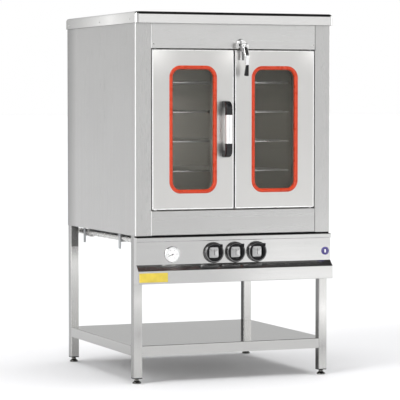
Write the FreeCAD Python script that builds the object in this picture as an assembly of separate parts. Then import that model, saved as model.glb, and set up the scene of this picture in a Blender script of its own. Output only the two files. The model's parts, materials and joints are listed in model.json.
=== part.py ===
import FreeCAD, Part
import math
import os

# Gas pastry oven: an insulated cabinet with two glazed doors on an open stand with an undershelf.
# Millimetres, +X to the right seen from the front, +Y to the back, +Z up.
# The origin lies on the floor under the middle of the whole oven.

V = FreeCAD.Vector
ALONG_X = V(1, 0, 0)
ALONG_Y = V(0, 1, 0)
ALONG_Z = V(0, 0, 1)

# Cabinet shell
body_width = 940.0
body_depth = 936.0
floor_to_body = 655.0
body_height = 934.0
sheet = 1.2
bend_radius = 2.0
seat_gap = 0.3
running_clearance = 0.05

# Top cover, a tray turned upside down over the cabinet
cover_height = 50.0
cover_side_overhang = 8.0
cover_front_overhang = 22.0
cover_back_overhang = 8.0
cover_corner_radius = 18.0
cover_edge_radius = 14.0

# Front frame round the doors
stile_width = 75.0
sill_height = 109.0
header_height = 110.0
stile_outer_return = 15.0
sill_bottom_return = 20.0

# Doors
door_thickness = 40.0
door_side_gap = 3.5
door_end_gap = 4.0
door_centre_gap = 5.0
door_edge_radius = 4.0
seal_thickness = 7.7
seal_width = 8.0
seal_margin = 2.0

# Door pivots
pivot_inset = 17.0
pivot_depth = 9.0
pivot_pin_diameter = 8.0
pivot_pin_reach = 16.0
pivot_flange_thickness = 4.0
pivot_collar_diameter = 15.0
bush_width = 24.0
bush_height = 20.0

# Door windows
window_side_margin = 80.0
window_end_margin = 70.0
window_corner_radius = 54.0
gasket_width = 18.0
gasket_proud = 5.0
gasket_depth = 15.0
gasket_round = 5.0
gasket_lip = 7.0
glass_thickness = 4.0
glass_setback = 3.0
glass_bite = 6.0
pane_lip = 8.0
pane_clearance = 0.2
sleeve_margin = 8.0
sleeve_wall = 1.0

# Door handle on the left door
handle_reach = 68.0
handle_length = 251.0
handle_grip_diameter = 27.0
handle_bracket_length = 62.0
handle_foot_height = 30.0
handle_width = 27.0
handle_edge_inset = 41.0
handle_below_door_top = 227.0
handle_slope = 26.0
handle_round = 4.0

# Turn latch on the right door and its keeper on the header
latch_x = 32.0
latch_above_door = 17.0
latch_plate_thickness = 4.0
latch_plate_width = 26.0
latch_foot_height = 42.0
latch_plate_reach = 22.0
latch_hub_diameter = 24.0
latch_hub_length = 13.0
latch_pin_diameter = 10.0
latch_tongue_length = 28.0
latch_tongue_width = 10.0
latch_tongue_thickness = 3.0
latch_tongue_gap = 0.5
latch_arm_diameter = 9.0
latch_arm_drop = 83.0
latch_arm_bow = 24.0
latch_arm_lean = 8.0
latch_knee_drop = 50.0
latch_knee_lean = 11.0
latch_grip_length = 51.0
latch_grip_top_diameter = 13.0
latch_grip_end_diameter = 21.0
latch_grip_round = 4.0
keeper_diameter = 42.0
keeper_height = 9.0
keeper_lift = 10.0
keeper_plate = 3.0
keeper_lip_length = 14.0
keeper_lip_height = 24.0
keeper_lip_gap = 1.5
keeper_tip_gap = 3.0

# Oven cavity
cavity_side_margin = 50.0
cavity_end_margin = 36.0
rear_wool = 85.6
hearth_thickness = 3.0
hearth_ledge = 20.0
roof_wool = 100.0

# Wire racks on side guides
rack_count = 4
lowest_rack_lift = 132.0
highest_rack_drop = 112.0
rack_front_setback = 100.0
rack_back_gap = 10.0
rack_side_gap = 3.0
rack_frame_wire = 8.0
rack_cross_wire = 4.0
rack_wire_count = 15
rack_corner_radius = 16.0
rack_wire_bite = 1.0
guide_strip = 3.0
guide_rail_width = 22.0
guide_upright_width = 20.0
guide_end_inset = 40.0
guide_upright_inset = 100.0
guide_top_margin = 20.0

# Flue
flue_diameter = 120.0
flue_wall = 1.5
flue_collar_height = 30.0
flue_flange_diameter = 150.0
flue_back_inset = 230.0

# Stand
leg_side = 40.0
leg_wall = 1.5
leg_corner_radius = 4.0
leg_front_setback = 24.0
foot_clear_height = 27.0
shelf_top = 168.5
shelf_edge_height = 45.5
shelf_rib_width = 80.0
shelf_rib_height = 20.0
shelf_rib_flange = 18.0

# Adjustable feet
plug_flange = 4.0
plug_depth = 25.0
plug_clearance = 0.1
foot_diameter = 37.0
foot_disc_height = 8.0
foot_neck_height = 16.0
foot_neck_diameter = 18.0
foot_stem_diameter = 10.0
foot_stem_reach = 20.0
foot_round = 3.0

# Control panel under the cabinet
panel_side_inset = 1.0
panel_gap = 7.0
lip_height = 19.0
lip_forward = 15.0
face_height = 101.5
face_forward = 8.0
slope_height = 25.5
apron_height = 57.0
apron_forward = 35.0
panel_bottom_return = 15.0
panel_bend = 1.5

# Control knobs
knob_pitch = 104.0
knob_below_lip = 54.0
knob_base_diameter = 93.0
knob_base_band = 3.0
knob_rim_diameter = 75.0
knob_height = 19.0
knob_rim_round = 2.0
knob_panel_gap = 2.0
knob_face_side = 52.0
knob_face_round = 12.0
knob_face_height = 7.0
knob_pointer_reach = 37.0
knob_pointer_lift = 8.0
knob_pointer_height = 10.0
spindle_diameter = 8.0
spindle_in_knob = 5.0
spindle_in_tap = 20.0
spindle_hole_diameter = 12.0

# Thermometer
gauge_side_inset = 170.0
gauge_below_lip = 58.0
gauge_bezel_diameter = 72.0
gauge_case_diameter = 57.0
gauge_bezel_height = 8.0
gauge_case_depth = 20.0
gauge_bezel_lip = 4.0
gauge_lens_thickness = 1.5
gauge_lens_seat = 2.0
gauge_dial_depth = 5.2
gauge_needle_length = 21.0
gauge_needle_tail = 8.0
gauge_needle_width = 2.4
gauge_needle_thickness = 0.8
gauge_needle_angle = 201.0
gauge_needle_hub = 7.0
gauge_pin_diameter = 2.0
gauge_pin_reach = 3.0
capillary_diameter = 2.5
capillary_bend = 4.0
capillary_run_out = 10.0
bulb_diameter = 8.0
bulb_length = 90.0
bulb_wall_gap = 30.0

# Igniter push button
igniter_side_inset = 26.0
igniter_below_lip = 60.0
igniter_ring_diameter = 36.0
igniter_ring_height = 3.0
igniter_body_diameter = 29.0
igniter_body_depth = 24.0
igniter_cap_diameter = 26.0
igniter_cap_clearance = 0.1
igniter_cap_proud = 8.0
igniter_travel = 4.0
igniter_well_margin = 2.0
igniter_cap_round = 3.0
igniter_stem_diameter = 8.0
igniter_stem_length = 14.0

# Gas supply
supply_diameter = 26.9
supply_wall = 2.6
supply_drop = 27.0
supply_end_inset = 6.0
inlet_diameter = 26.4
inlet_length = 20.0
supply_bend = 16.0
manifold_setback = 45.0
manifold_run_past = 40.0
union_diameter = 42.0
union_length = 30.0
union_flats = 6
union_from_back = 190.0
hanger_width = 25.0
hanger_thickness = 3.0
hanger_upper_lap = 35.0
hanger_tail = 35.0
hanger_front_setback = 310.0
hanger_back_inset = 136.0
tap_side = 26.0
tap_front_gap = 4.0
feed_pipe_diameter = 8.0
feed_pipe_bend = 12.0
feed_pipe_rise = 28.0
feed_pipe_tilt = 16.0
feed_pipe_rail_gap = 20.0
injector_diameter = 14.0
injector_length = 22.0

# Burners
burner_wall_gap = 135.0
burner_diameter = 40.0
burner_wall = 1.5
burner_back_gap = 44.0
burner_front_setback = 104.0
burner_lift = 40.0
burner_port_count = 16
burner_port_width = 2.5
burner_port_length = 16.0
burner_bracket_thickness = 4.0
burner_bracket_ends = 60.0
burner_bracket_inset = 100.0
pan_front_setback = 110.0
pan_skirt_inset = 80.0
pan_skirt_drop = 22.0

# Screws
screw_head_diameter = 9.0
screw_head_height = 2.5
screw_shank_diameter = 4.0
cover_screw_lift = 17.0
cover_screw_inset = 46.0
cover_screw_offset = 20.0
header_screw_inset = 11.0
header_screw_lift = 18.0
back_screw_inset = 14.0
back_screw_rows = 4

# Heights
body_top = floor_to_body + body_height
cover_top = body_top + cover_height
panel_top = cover_top - sheet - seat_gap
opening_bottom = floor_to_body + sill_height
opening_top = body_top - header_height
rail_top = floor_to_body + leg_side
pan_top = rail_top + sheet
cavity_floor = opening_bottom + cavity_end_margin
cavity_roof = opening_top - cavity_end_margin
door_bottom = opening_bottom + door_end_gap
door_top = opening_top - door_end_gap
lip_top = floor_to_body - panel_gap
lip_bottom = lip_top - lip_height
face_bottom = lip_bottom - face_height
slope_bottom = face_bottom - slope_height
apron_bottom = slope_bottom - apron_height

# Half widths and depths; the whole oven is centred between the handle and the cover's back edge
half_body = body_width / 2
inner_half = half_body - sheet
half_opening = half_body - stile_width
front = (handle_reach - cover_back_overhang - body_depth) / 2
back = front + body_depth
inner_back = back - sheet
mouth = front + door_thickness + seat_gap + seal_thickness
liner_front = mouth + sheet
cavity_back = inner_back - rear_wool - sheet
half_cavity = half_opening - cavity_side_margin
leg_front = front + leg_front_setback
leg_inner = inner_half - leg_side
face_plane = front - face_forward
rail_back = leg_front + leg_side

# Left door, from its hinge edge to its free edge; the right door is its mirror image
hinge_edge = -half_opening + door_side_gap
free_edge = -door_centre_gap / 2
door_back = front + door_thickness
liner_plane = door_back - sheet
pivot_x = hinge_edge + pivot_inset
pivot_y = front + pivot_depth
pivot_flange_diameter = 2 * (pivot_depth - sheet - bend_radius - seat_gap)
window_left = hinge_edge + window_side_margin
window_right = free_edge - window_side_margin
window_bottom = door_bottom + window_end_margin
window_top = door_top - window_end_margin
gasket_back = front - gasket_proud + gasket_depth

# Latch hub and the layers in front of the header
latch_z = door_top + latch_above_door
latch_plate_front = front - latch_plate_reach
latch_plate_back = latch_plate_front + latch_plate_thickness
tongue_front = latch_plate_back + latch_tongue_gap
tongue_back = tongue_front + latch_tongue_thickness
latch_hub_front = latch_plate_front - seat_gap - latch_hub_length
latch_arm_start = V(latch_x, latch_hub_front + latch_hub_length / 2, latch_z)
latch_arm_knee = latch_arm_start + V(latch_knee_lean, -latch_arm_bow, -latch_knee_drop)
latch_arm_end = latch_arm_start + V(latch_arm_lean, -latch_arm_bow, -latch_arm_drop)

# Control centres
gauge_x = -half_body + gauge_side_inset
igniter_x = half_body - igniter_side_inset
knob_z = lip_bottom - knob_below_lip
gauge_z = lip_bottom - gauge_below_lip
igniter_z = lip_bottom - igniter_below_lip
knob_places = (("knob_left", -knob_pitch), ("knob_middle", 0.0), ("knob_right", knob_pitch))
manifold_y = front + manifold_setback
supply_radius = supply_diameter / 2
supply_x = -leg_inner + hanger_thickness + seat_gap + supply_radius
supply_z = floor_to_body - supply_drop
burner_z = pan_top + burner_lift
burner_front = front + burner_front_setback
burner_length = cavity_back - burner_back_gap - burner_front
burner_pitch = half_cavity - burner_wall_gap
hanger_setbacks = (hanger_front_setback, body_depth - hanger_back_inset)
cover_screw_middle = body_depth / 2 - cover_screw_offset
cover_screw_setbacks = (cover_screw_inset, cover_screw_middle, body_depth - cover_screw_inset)
header_screw_x = half_opening - header_screw_inset

# Rack levels, counted from the bottom
rack_pitch = (cavity_roof - cavity_floor - lowest_rack_lift - highest_rack_drop) / (rack_count - 1)
rack_levels = [cavity_floor + lowest_rack_lift + rack_pitch * level for level in range(rack_count)]
rack_half = half_cavity - guide_strip - rack_side_gap
rack_back = cavity_back - rack_back_gap
rack_front = mouth + rack_front_setback


def box(x0, x1, y0, y1, z0, z1):
    """Block between two opposite corners."""
    return Part.makeBox(x1 - x0, y1 - y0, z1 - z0, V(x0, y0, z0))


def rod(diameter, start, direction, length):
    """Round bar from a start point along a direction."""
    return Part.makeCylinder(diameter / 2, length, start, direction)


def mirrored(shape):
    """Copy on the other side of the oven's middle plane."""
    return shape.mirror(V(0, 0, 0), ALONG_X)


def joined(shapes):
    """One solid from pieces that meet."""
    return shapes[0].multiFuse(shapes[1:]).removeSplitter()


def group(shapes):
    """Separate solids kept in one node."""
    return Part.makeCompound(shapes)


def corner_arc(before, corner, after, radius):
    """Start, middle and end of the arc that rounds one corner of a path."""
    to_before = (before - corner).normalize()
    to_after = (after - corner).normalize()
    half_angle = to_before.getAngle(to_after) / 2
    reach = radius / math.tan(half_angle)
    middle = (to_before + to_after).normalize() * (radius / math.sin(half_angle) - radius)
    return corner + to_before * reach, corner + middle, corner + to_after * reach


def rounded_wire(points, radii, closed=True):
    """Wire through the points, each corner rounded by its own radius; 0 leaves it sharp."""
    count = len(points)
    arcs = []
    for index, point in enumerate(points):
        is_end = not closed and index in (0, count - 1)
        if is_end or radii[index] == 0:
            arcs.append((point, None, point))
        else:
            arcs.append(corner_arc(points[index - 1], point, points[(index + 1) % count], radii[index]))
    edges = []
    for index, (start, middle, end) in enumerate(arcs):
        if middle is not None:
            edges.append(Part.Arc(start, middle, end).toShape())
        following = arcs[(index + 1) % count][0]
        is_last = index == count - 1
        if (closed or not is_last) and end.distanceToPoint(following) > 1e-6:
            edges.append(Part.LineSegment(end, following).toShape())
    return Part.Wire(edges)


def prism(points, radii, extrusion):
    """Solid with a rounded outline carried straight along a vector."""
    return Part.Face(rounded_wire(points, radii)).extrude(extrusion)


def folded_sheet(path, thickness, inner_bend, place, extrusion):
    """Bent sheet. The path is its outer face as (u, v) corners, and the sheet lies to the path's left."""
    directions = []
    for (u0, v0), (u1, v1) in zip(path, path[1:]):
        length = math.hypot(u1 - u0, v1 - v0)
        directions.append(((u1 - u0) / length, (v1 - v0) / length))
    inside = []
    outer_radii = [0]
    inner_radii = [0]
    for index, (u, v) in enumerate(path):
        d0 = directions[max(index - 1, 0)]
        d1 = directions[min(index, len(directions) - 1)]
        scale = thickness / (1 + d0[0] * d1[0] + d0[1] * d1[1])
        inside.append((u - (d0[1] + d1[1]) * scale, v + (d0[0] + d1[0]) * scale))
        if 0 < index < len(path) - 1:
            turns_left = d0[0] * d1[1] - d0[1] * d1[0] > 0
            outer_radii.append(inner_bend + thickness if turns_left else inner_bend)
            inner_radii.append(inner_bend if turns_left else inner_bend + thickness)
    outer_radii.append(0)
    inner_radii.append(0)
    outline = [place(u, v) for u, v in path + inside[::-1]]
    return prism(outline, outer_radii + inner_radii[::-1], extrusion)


def rounded_plate(x0, x1, z0, z1, radius, y0, y1):
    """Upright plate with rounded corners between two depths."""
    corners = [V(x0, y0, z0), V(x1, y0, z0), V(x1, y0, z1), V(x0, y0, z1)]
    return prism(corners, [radius] * 4, V(0, y1 - y0, 0))


def rounded_bar(centre, direction, across, half, radius, length):
    """Square bar with rounded corners, from the centre of its end along a direction."""
    other = direction.cross(across)
    signs = ((-1, -1), (1, -1), (1, 1), (-1, 1))
    corners = [centre + across * (half * a) + other * (half * b) for a, b in signs]
    return prism(corners, [radius] * 4, direction * length)


def square_tube(centre, direction, across, length):
    """Hollow square leg or rail from the centre of its end along a direction."""
    outer = rounded_bar(centre, direction, across, leg_side / 2, leg_corner_radius, length)
    bore_radius = leg_corner_radius - leg_wall
    bore = rounded_bar(centre, direction, across, leg_side / 2 - leg_wall, bore_radius, length)
    return outer.cut(bore)


def bent_rod(points, bend, diameter):
    """Round bar along straight runs joined by tangent arcs."""
    path = rounded_wire(points, [bend] * len(points), closed=False)
    start = points[0]
    section = Part.Wire(Part.makeCircle(diameter / 2, start, (points[1] - start).normalize()))
    return path.makePipeShell([section], True, False)


def turned(profile, centre, direction):
    """Solid of revolution: (radius, distance) corners about an axis, joined by straight lines."""
    across = ALONG_X
    outline = [centre + across * radius + direction * along for radius, along in profile]
    face = Part.Face(Part.makePolygon(outline + outline[:1]))
    return face.revolve(centre, direction, 360)


def edges_at(shape, axis, value):
    """Edges of a shape that lie in one plane across an axis."""
    found = []
    for edge in shape.Edges:
        low = getattr(edge.BoundBox, axis + "Min")
        high = getattr(edge.BoundBox, axis + "Max")
        if abs(low - value) < 1e-4 and abs(high - value) < 1e-4:
            found.append(edge)
    return found


def leg_centres():
    """Plan centres of the four legs, by corner name."""
    x = inner_half - leg_side / 2
    y_front = leg_front + leg_side / 2
    y_back = inner_back - leg_side / 2
    return {"front_left": V(-x, y_front, 0), "front_right": V(x, y_front, 0),
            "back_left": V(-x, y_back, 0), "back_right": V(x, y_back, 0)}


def stand_frame():
    """Four square legs and the four rails between their tops."""
    tubes = []
    for centre in leg_centres().values():
        bottom = centre + ALONG_Z * foot_clear_height
        tubes.append(square_tube(bottom, ALONG_Z, ALONG_X, rail_top - foot_clear_height))
    rail_z = rail_top - leg_side / 2
    for y in (leg_front + leg_side / 2, inner_back - leg_side / 2):
        tubes.append(square_tube(V(-leg_inner, y, rail_z), ALONG_X, ALONG_Y, 2 * leg_inner))
    for side in (-1, 1):
        start = V(side * (inner_half - leg_side / 2), rail_back, rail_z)
        tubes.append(square_tube(start, ALONG_Y, ALONG_X, inner_back - leg_side - rail_back))
    return group(tubes)


def undershelf():
    """Shelf tray folded down on all sides and notched round the legs, with a hat rib below it."""
    outer = box(-inner_half, inner_half, leg_front, inner_back, shelf_top - shelf_edge_height, shelf_top)
    outer = outer.makeFillet(bend_radius + sheet, edges_at(outer, "Z", shelf_top))
    hollow = box(-inner_half + sheet, inner_half - sheet, leg_front + sheet, inner_back - sheet,
                 shelf_top - shelf_edge_height, shelf_top - sheet)
    tray = outer.cut(hollow)
    for centre in leg_centres().values():
        tray = tray.cut(rounded_bar(centre, ALONG_Z, ALONG_X, leg_side / 2, 0, shelf_top))
    rib_y = (leg_front + inner_back) / 2
    plate_under = shelf_top - sheet
    half_rib = shelf_rib_width / 2
    rib_path = [(half_rib + shelf_rib_flange, plate_under), (half_rib, plate_under),
                (half_rib, plate_under - shelf_rib_height), (-half_rib, plate_under - shelf_rib_height),
                (-half_rib, plate_under), (-half_rib - shelf_rib_flange, plate_under)]
    rib = folded_sheet(rib_path[::-1], sheet, bend_radius,
                       lambda u, v: V(-leg_inner, rib_y + u, v - sheet), V(2 * leg_inner, 0, 0))
    return group([tray, rib])


def foot_plugs():
    """Square end plugs in the leg tubes, bored for the feet."""
    plugs = []
    inside = leg_side / 2 - leg_wall - plug_clearance
    for centre in leg_centres().values():
        tube_end = centre + ALONG_Z * foot_clear_height
        flange = rounded_bar(tube_end, ALONG_Z * -1, ALONG_X, leg_side / 2, leg_corner_radius, plug_flange)
        insert = rounded_bar(tube_end, ALONG_Z, ALONG_X, inside, leg_corner_radius - leg_wall, plug_depth)
        bore_diameter = foot_stem_diameter + 2 * running_clearance
        bore = rod(bore_diameter, centre, ALONG_Z, foot_clear_height + plug_depth)
        plugs.append(joined([flange, insert]).cut(bore))
    return group(plugs)


def foot(centre):
    """Round levelling foot with a threaded stem up into its plug."""
    disc = rod(foot_diameter, centre, ALONG_Z, foot_disc_height)
    disc = disc.makeFillet(foot_round, edges_at(disc, "Z", foot_disc_height))
    neck = Part.makeCone(foot_neck_diameter / 2, foot_stem_diameter / 2,
                         foot_neck_height - foot_disc_height, centre + ALONG_Z * foot_disc_height, ALONG_Z)
    stem = rod(foot_stem_diameter, centre, ALONG_Z, foot_clear_height + foot_stem_reach)
    return joined([disc, neck, stem])


def cover_block(inset, height):
    """Rounded block of the cover's outline, smaller by an inset all round."""
    half = half_body + cover_side_overhang - inset
    block = box(-half, half, front - cover_front_overhang + inset, back + cover_back_overhang - inset,
                body_top, body_top + height)
    uprights = [edge for edge in block.Edges if edge.BoundBox.ZLength > height / 2]
    block = block.makeFillet(cover_corner_radius - inset, uprights)
    return block.makeFillet(cover_edge_radius - inset, edges_at(block, "Z", body_top + height))


def under_cover(panel):
    """A sheet trimmed at its top to what fits inside the cover's rounded edges."""
    clear = sheet + seat_gap
    half = half_body + cover_side_overhang
    around = box(-half, half, front - cover_front_overhang, back + cover_back_overhang, body_top, cover_top)
    return panel.cut(around.cut(cover_block(clear, cover_height - clear)))


def side_panel_left():
    """Flat side sheet behind the stile's outer return."""
    panel_front = front + stile_outer_return + seat_gap
    return under_cover(box(-half_body, -inner_half, panel_front, inner_back, floor_to_body, panel_top))


def back_screw_seats():
    """Screw places on the outer face of the back panel."""
    step = (body_height - 2 * back_screw_inset) / (back_screw_rows - 1)
    heights = [floor_to_body + back_screw_inset + row * step for row in range(back_screw_rows)]
    x = half_body - back_screw_inset
    return [V(side * x, back, z) for side in (-1, 1) for z in heights]


def back_panel():
    """Flat sheet over the whole back, with its screw holes."""
    panel = box(-half_body, half_body, inner_back, back, floor_to_body, panel_top)
    holes = [rod(screw_shank_diameter, seat, ALONG_Y * -1, sheet) for seat in back_screw_seats()]
    return under_cover(panel.cut(holes))


def flue_axis_y():
    """Depth of the flue's centre."""
    return back - flue_back_inset


def top_cover():
    """Cover tray with a hole for the flue and holes for its side screws."""
    cover = cover_block(0, cover_height).cut(cover_block(sheet, cover_height - sheet))
    cover = cover.cut(flue_bore(flue_diameter + 2 * seat_gap, body_top, cover_top + sheet))
    for side in (-1, 1):
        for setback in cover_screw_setbacks:
            start = V(side * half_body, front + setback, body_top + cover_screw_lift)
            cover = cover.cut(rod(screw_shank_diameter + 2 * running_clearance, start, ALONG_X * side,
                                  2 * cover_side_overhang))
    return cover


def stile_left():
    """Upright of the front frame with a return at each edge, notched over the stand's rail."""
    path = [(-half_body, front + stile_outer_return), (-half_body, front),
            (-half_opening, front), (-half_opening, mouth)]
    stile = folded_sheet(path, sheet, bend_radius, lambda u, v: V(u, v, floor_to_body),
                         V(0, 0, panel_top - floor_to_body))
    notch = box(-half_opening - 2 * sheet, -half_opening, leg_front - seat_gap, mouth,
                floor_to_body, rail_top + seat_gap)
    return under_cover(stile.cut(notch))


def pivot_hole(z):
    """Hole for a pivot pin through a sheet at a height, on both sides."""
    holes = []
    for side in (-1, 1):
        start = V(side * abs(pivot_x), pivot_y, z - 2 * sheet)
        holes.append(rod(pivot_pin_diameter, start, ALONG_Z, 4 * sheet))
    return holes


def rail_section(depth, height):
    """Point of a cross rail's section at the left end of the door opening."""
    return V(-half_opening, depth, height)


def header_rail():
    """Front sheet above the doors, folded back over them."""
    path = [(front, panel_top), (front, opening_top), (mouth, opening_top)]
    rail = folded_sheet(path, sheet, bend_radius, rail_section, V(2 * half_opening, 0, 0))
    screw_holes = []
    for side in (-1, 1):
        start = V(side * header_screw_x, front, opening_top + header_screw_lift)
        screw_holes.append(rod(screw_shank_diameter, start, ALONG_Y, 2 * sheet))
    return rail.cut(pivot_hole(opening_top) + screw_holes)


def sill_rail():
    """Front sheet below the doors, folded back under them and at its lower edge."""
    path = [(mouth, opening_bottom), (front, opening_bottom), (front, floor_to_body),
            (front + sill_bottom_return, floor_to_body)]
    rail = folded_sheet(path, sheet, bend_radius, rail_section, V(2 * half_opening, 0, 0))
    return rail.cut(pivot_hole(opening_bottom))


def base_pan():
    """Floor sheet of the burner space, lying on the stand's rails, with a skirt turned down below it."""
    pan_front = front + pan_front_setback
    plate = box(-inner_half, inner_half, pan_front, inner_back, rail_top, pan_top)
    skirt_half = inner_half - pan_skirt_inset
    skirt_back = inner_back - pan_skirt_inset
    skirt_low = floor_to_body - pan_skirt_drop
    skirt = box(-skirt_half, skirt_half, pan_front, skirt_back, skirt_low, rail_top)
    skirt = skirt.cut(box(-skirt_half + sheet, skirt_half - sheet, pan_front + sheet, skirt_back - sheet,
                          skirt_low, rail_top))
    return joined([plate, skirt])


def flue_bore(diameter, z0, z1):
    """Upright cylinder on the flue's axis."""
    return rod(diameter, V(0, flue_axis_y(), z0), ALONG_Z, z1 - z0)


def flue_duct():
    """Flue tube from the cavity roof through the cover, with a flange on the cover."""
    bottom = cavity_roof + sheet
    top = cover_top + flue_collar_height
    tube = flue_bore(flue_diameter, bottom, top)
    flange = flue_bore(flue_flange_diameter, cover_top, cover_top + flue_wall)
    return joined([tube, flange]).cut(flue_bore(flue_diameter - 2 * flue_wall, bottom, top))


def insulation():
    """Mineral wool slabs at both sides, behind and above the cavity."""
    wool_top = cavity_roof + roof_wool
    liner_half = half_cavity + sheet
    liner_back = cavity_back + sheet
    left = box(-inner_half, -liner_half, liner_front, liner_back, pan_top, wool_top)
    rear = box(-inner_half, inner_half, liner_back, inner_back, pan_top, wool_top)
    roof = box(-liner_half, liner_half, liner_front, liner_back, cavity_roof + sheet, wool_top)
    roof = roof.cut(flue_bore(flue_diameter, cavity_roof, wool_top + sheet))
    return group([left, mirrored(left), rear, roof])


def cavity_liner():
    """Cavity walls, back and roof, the flange round the mouth and the ledges for the hearth."""
    liner_half = half_cavity + sheet
    flange_half = half_opening + sheet
    wall = box(-liner_half, -half_cavity, liner_front, cavity_back, pan_top, cavity_roof)
    rear = box(-liner_half, liner_half, cavity_back, cavity_back + sheet, pan_top, cavity_roof + sheet)
    roof = box(-liner_half, liner_half, liner_front, cavity_back, cavity_roof, cavity_roof + sheet)
    roof = roof.cut(flue_bore(flue_diameter - 2 * flue_wall, cavity_roof - sheet, cavity_roof + 2 * sheet))
    jamb = box(-flange_half, -half_cavity, mouth, liner_front, opening_bottom - sheet, opening_top + sheet)
    lintel = box(-half_cavity, half_cavity, mouth, liner_front, cavity_roof, opening_top + sheet)
    threshold = box(-half_cavity, half_cavity, mouth, liner_front, opening_bottom - sheet, cavity_floor)
    ledge_top = cavity_floor - hearth_thickness
    ledge = box(-half_cavity, -half_cavity + hearth_ledge, liner_front, cavity_back,
                ledge_top - sheet, ledge_top)
    sides = [wall, jamb, ledge]
    return group(sides + [mirrored(piece) for piece in sides] + [rear, roof, lintel, threshold])


def hearth_plate():
    """Loose steel floor of the cavity on its ledges, with a hole for the thermometer's tube."""
    half = half_cavity - seat_gap
    under = cavity_floor - hearth_thickness
    plate = box(-half, half, liner_front + seat_gap, cavity_back - seat_gap, under, cavity_floor)
    return plate.cut(rod(bulb_diameter, bulb_foot(), ALONG_Z * -1, hearth_thickness))


def door_seal():
    """Soft seal round the cavity mouth, just behind the closed doors."""
    inner_half_width = half_cavity + seal_margin
    low = cavity_floor - seal_margin
    high = cavity_roof + seal_margin
    seal_front = mouth - seal_thickness
    outer = rounded_plate(-inner_half_width - seal_width, inner_half_width + seal_width,
                          low - seal_width, high + seal_width, 2 * seal_width, seal_front, mouth)
    inner = rounded_plate(-inner_half_width, inner_half_width, low, high, seal_width, seal_front, mouth)
    return outer.cut(inner)


def rack_guides():
    """Uprights and horizontal strips at both walls that carry the racks."""
    strips = []
    wall = half_cavity
    for y in (mouth + guide_upright_inset, cavity_back - guide_upright_inset - guide_upright_width):
        strips.append(box(-wall, -wall + guide_strip, y, y + guide_upright_width,
                          cavity_floor, cavity_roof - guide_top_margin))
    for level in rack_levels:
        top = level - rack_frame_wire / 2 - seat_gap
        strips.append(box(-wall + guide_strip, -wall + guide_strip + guide_rail_width,
                          mouth + guide_end_inset, cavity_back - rack_back_gap, top - guide_strip, top))
    return group(strips + [mirrored(strip) for strip in strips])


def wire_rack(level):
    """Wire rack: a rounded frame with wires from front to back welded on it."""
    corners = [V(-rack_half, rack_front, level), V(rack_half, rack_front, level),
               V(rack_half, rack_back, level), V(-rack_half, rack_back, level)]
    wire_radius = rack_frame_wire / 2
    inset = [corner + V(wire_radius if corner.x < 0 else -wire_radius,
                        wire_radius if corner.y == rack_front else -wire_radius, 0) for corner in corners]
    middle = (inset[0] + inset[1]) * 0.5
    path = rounded_wire([middle, inset[1], inset[2], inset[3], inset[0]], [0] + [rack_corner_radius] * 4)
    section = Part.Wire(Part.makeCircle(wire_radius, middle, ALONG_X))
    frame = path.makePipeShell([section], True, False)
    wires = [frame]
    wire_pitch = 2 * rack_half / (rack_wire_count + 1)
    wire_z = level + (rack_frame_wire + rack_cross_wire) / 2 - rack_wire_bite
    for index in range(rack_wire_count):
        x = -rack_half + wire_pitch * (index + 1)
        wires.append(rod(rack_cross_wire, V(x, rack_front, wire_z), ALONG_Y, rack_back - rack_front))
    return joined(wires)


def burner_centres():
    """Places of the three burners across the oven."""
    return (-burner_pitch, 0.0, burner_pitch)


def burners():
    """Three burner tubes with rows of ports, lying in two notched cross brackets."""
    tubes = []
    for x in burner_centres():
        start = V(x, burner_front, burner_z)
        tube = rod(burner_diameter, start, ALONG_Y, burner_length)
        bore = rod(burner_diameter - 2 * burner_wall, start, ALONG_Y, burner_length - burner_wall)
        ports = []
        port_pitch = burner_length / (burner_port_count + 1)
        half_port = burner_port_length / 2
        for index in range(burner_port_count):
            y = burner_front + port_pitch * (index + 1)
            ports.append(box(x - half_port, x + half_port, y, y + burner_port_width,
                             burner_z, burner_z + burner_diameter))
        tubes.append(tube.cut([bore] + ports))
    brackets = []
    half = burner_pitch + burner_bracket_ends
    for y in (burner_front + burner_bracket_inset, burner_front + burner_length - burner_bracket_inset):
        strip = box(-half, half, y, y + burner_bracket_thickness, pan_top, burner_z)
        notches = [rod(burner_diameter, V(x, burner_front, burner_z), ALONG_Y, burner_length)
                   for x in burner_centres()]
        brackets.append(strip.cut(notches))
    return group(tubes + brackets)


def feed_path(tap_x, burner_x):
    """Route of a feed pipe from the top of its tap, behind the rail and up to its burner."""
    tap_y = face_plane + tap_front_gap + tap_side / 2
    tap_top = knob_z + tap_side / 2
    rise_y = rail_back + feed_pipe_rail_gap
    crossing_z = tap_top + feed_pipe_rise
    return [V(tap_x, tap_y, tap_top), V(tap_x, tap_y, crossing_z),
            V(burner_x, rise_y, crossing_z + feed_pipe_tilt), V(burner_x, rise_y, burner_z),
            V(burner_x, burner_front, burner_z)]


def injector_pipes():
    """Feed pipes from the taps, each ending in an injector inside its burner's mouth."""
    pieces = []
    for (name, tap_x), burner_x in zip(knob_places, burner_centres()):
        pieces.append(bent_rod(feed_path(tap_x, burner_x), feed_pipe_bend, feed_pipe_diameter))
        pieces.append(rod(injector_diameter, V(burner_x, burner_front, burner_z), ALONG_Y, injector_length))
    return group(pieces)


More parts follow.
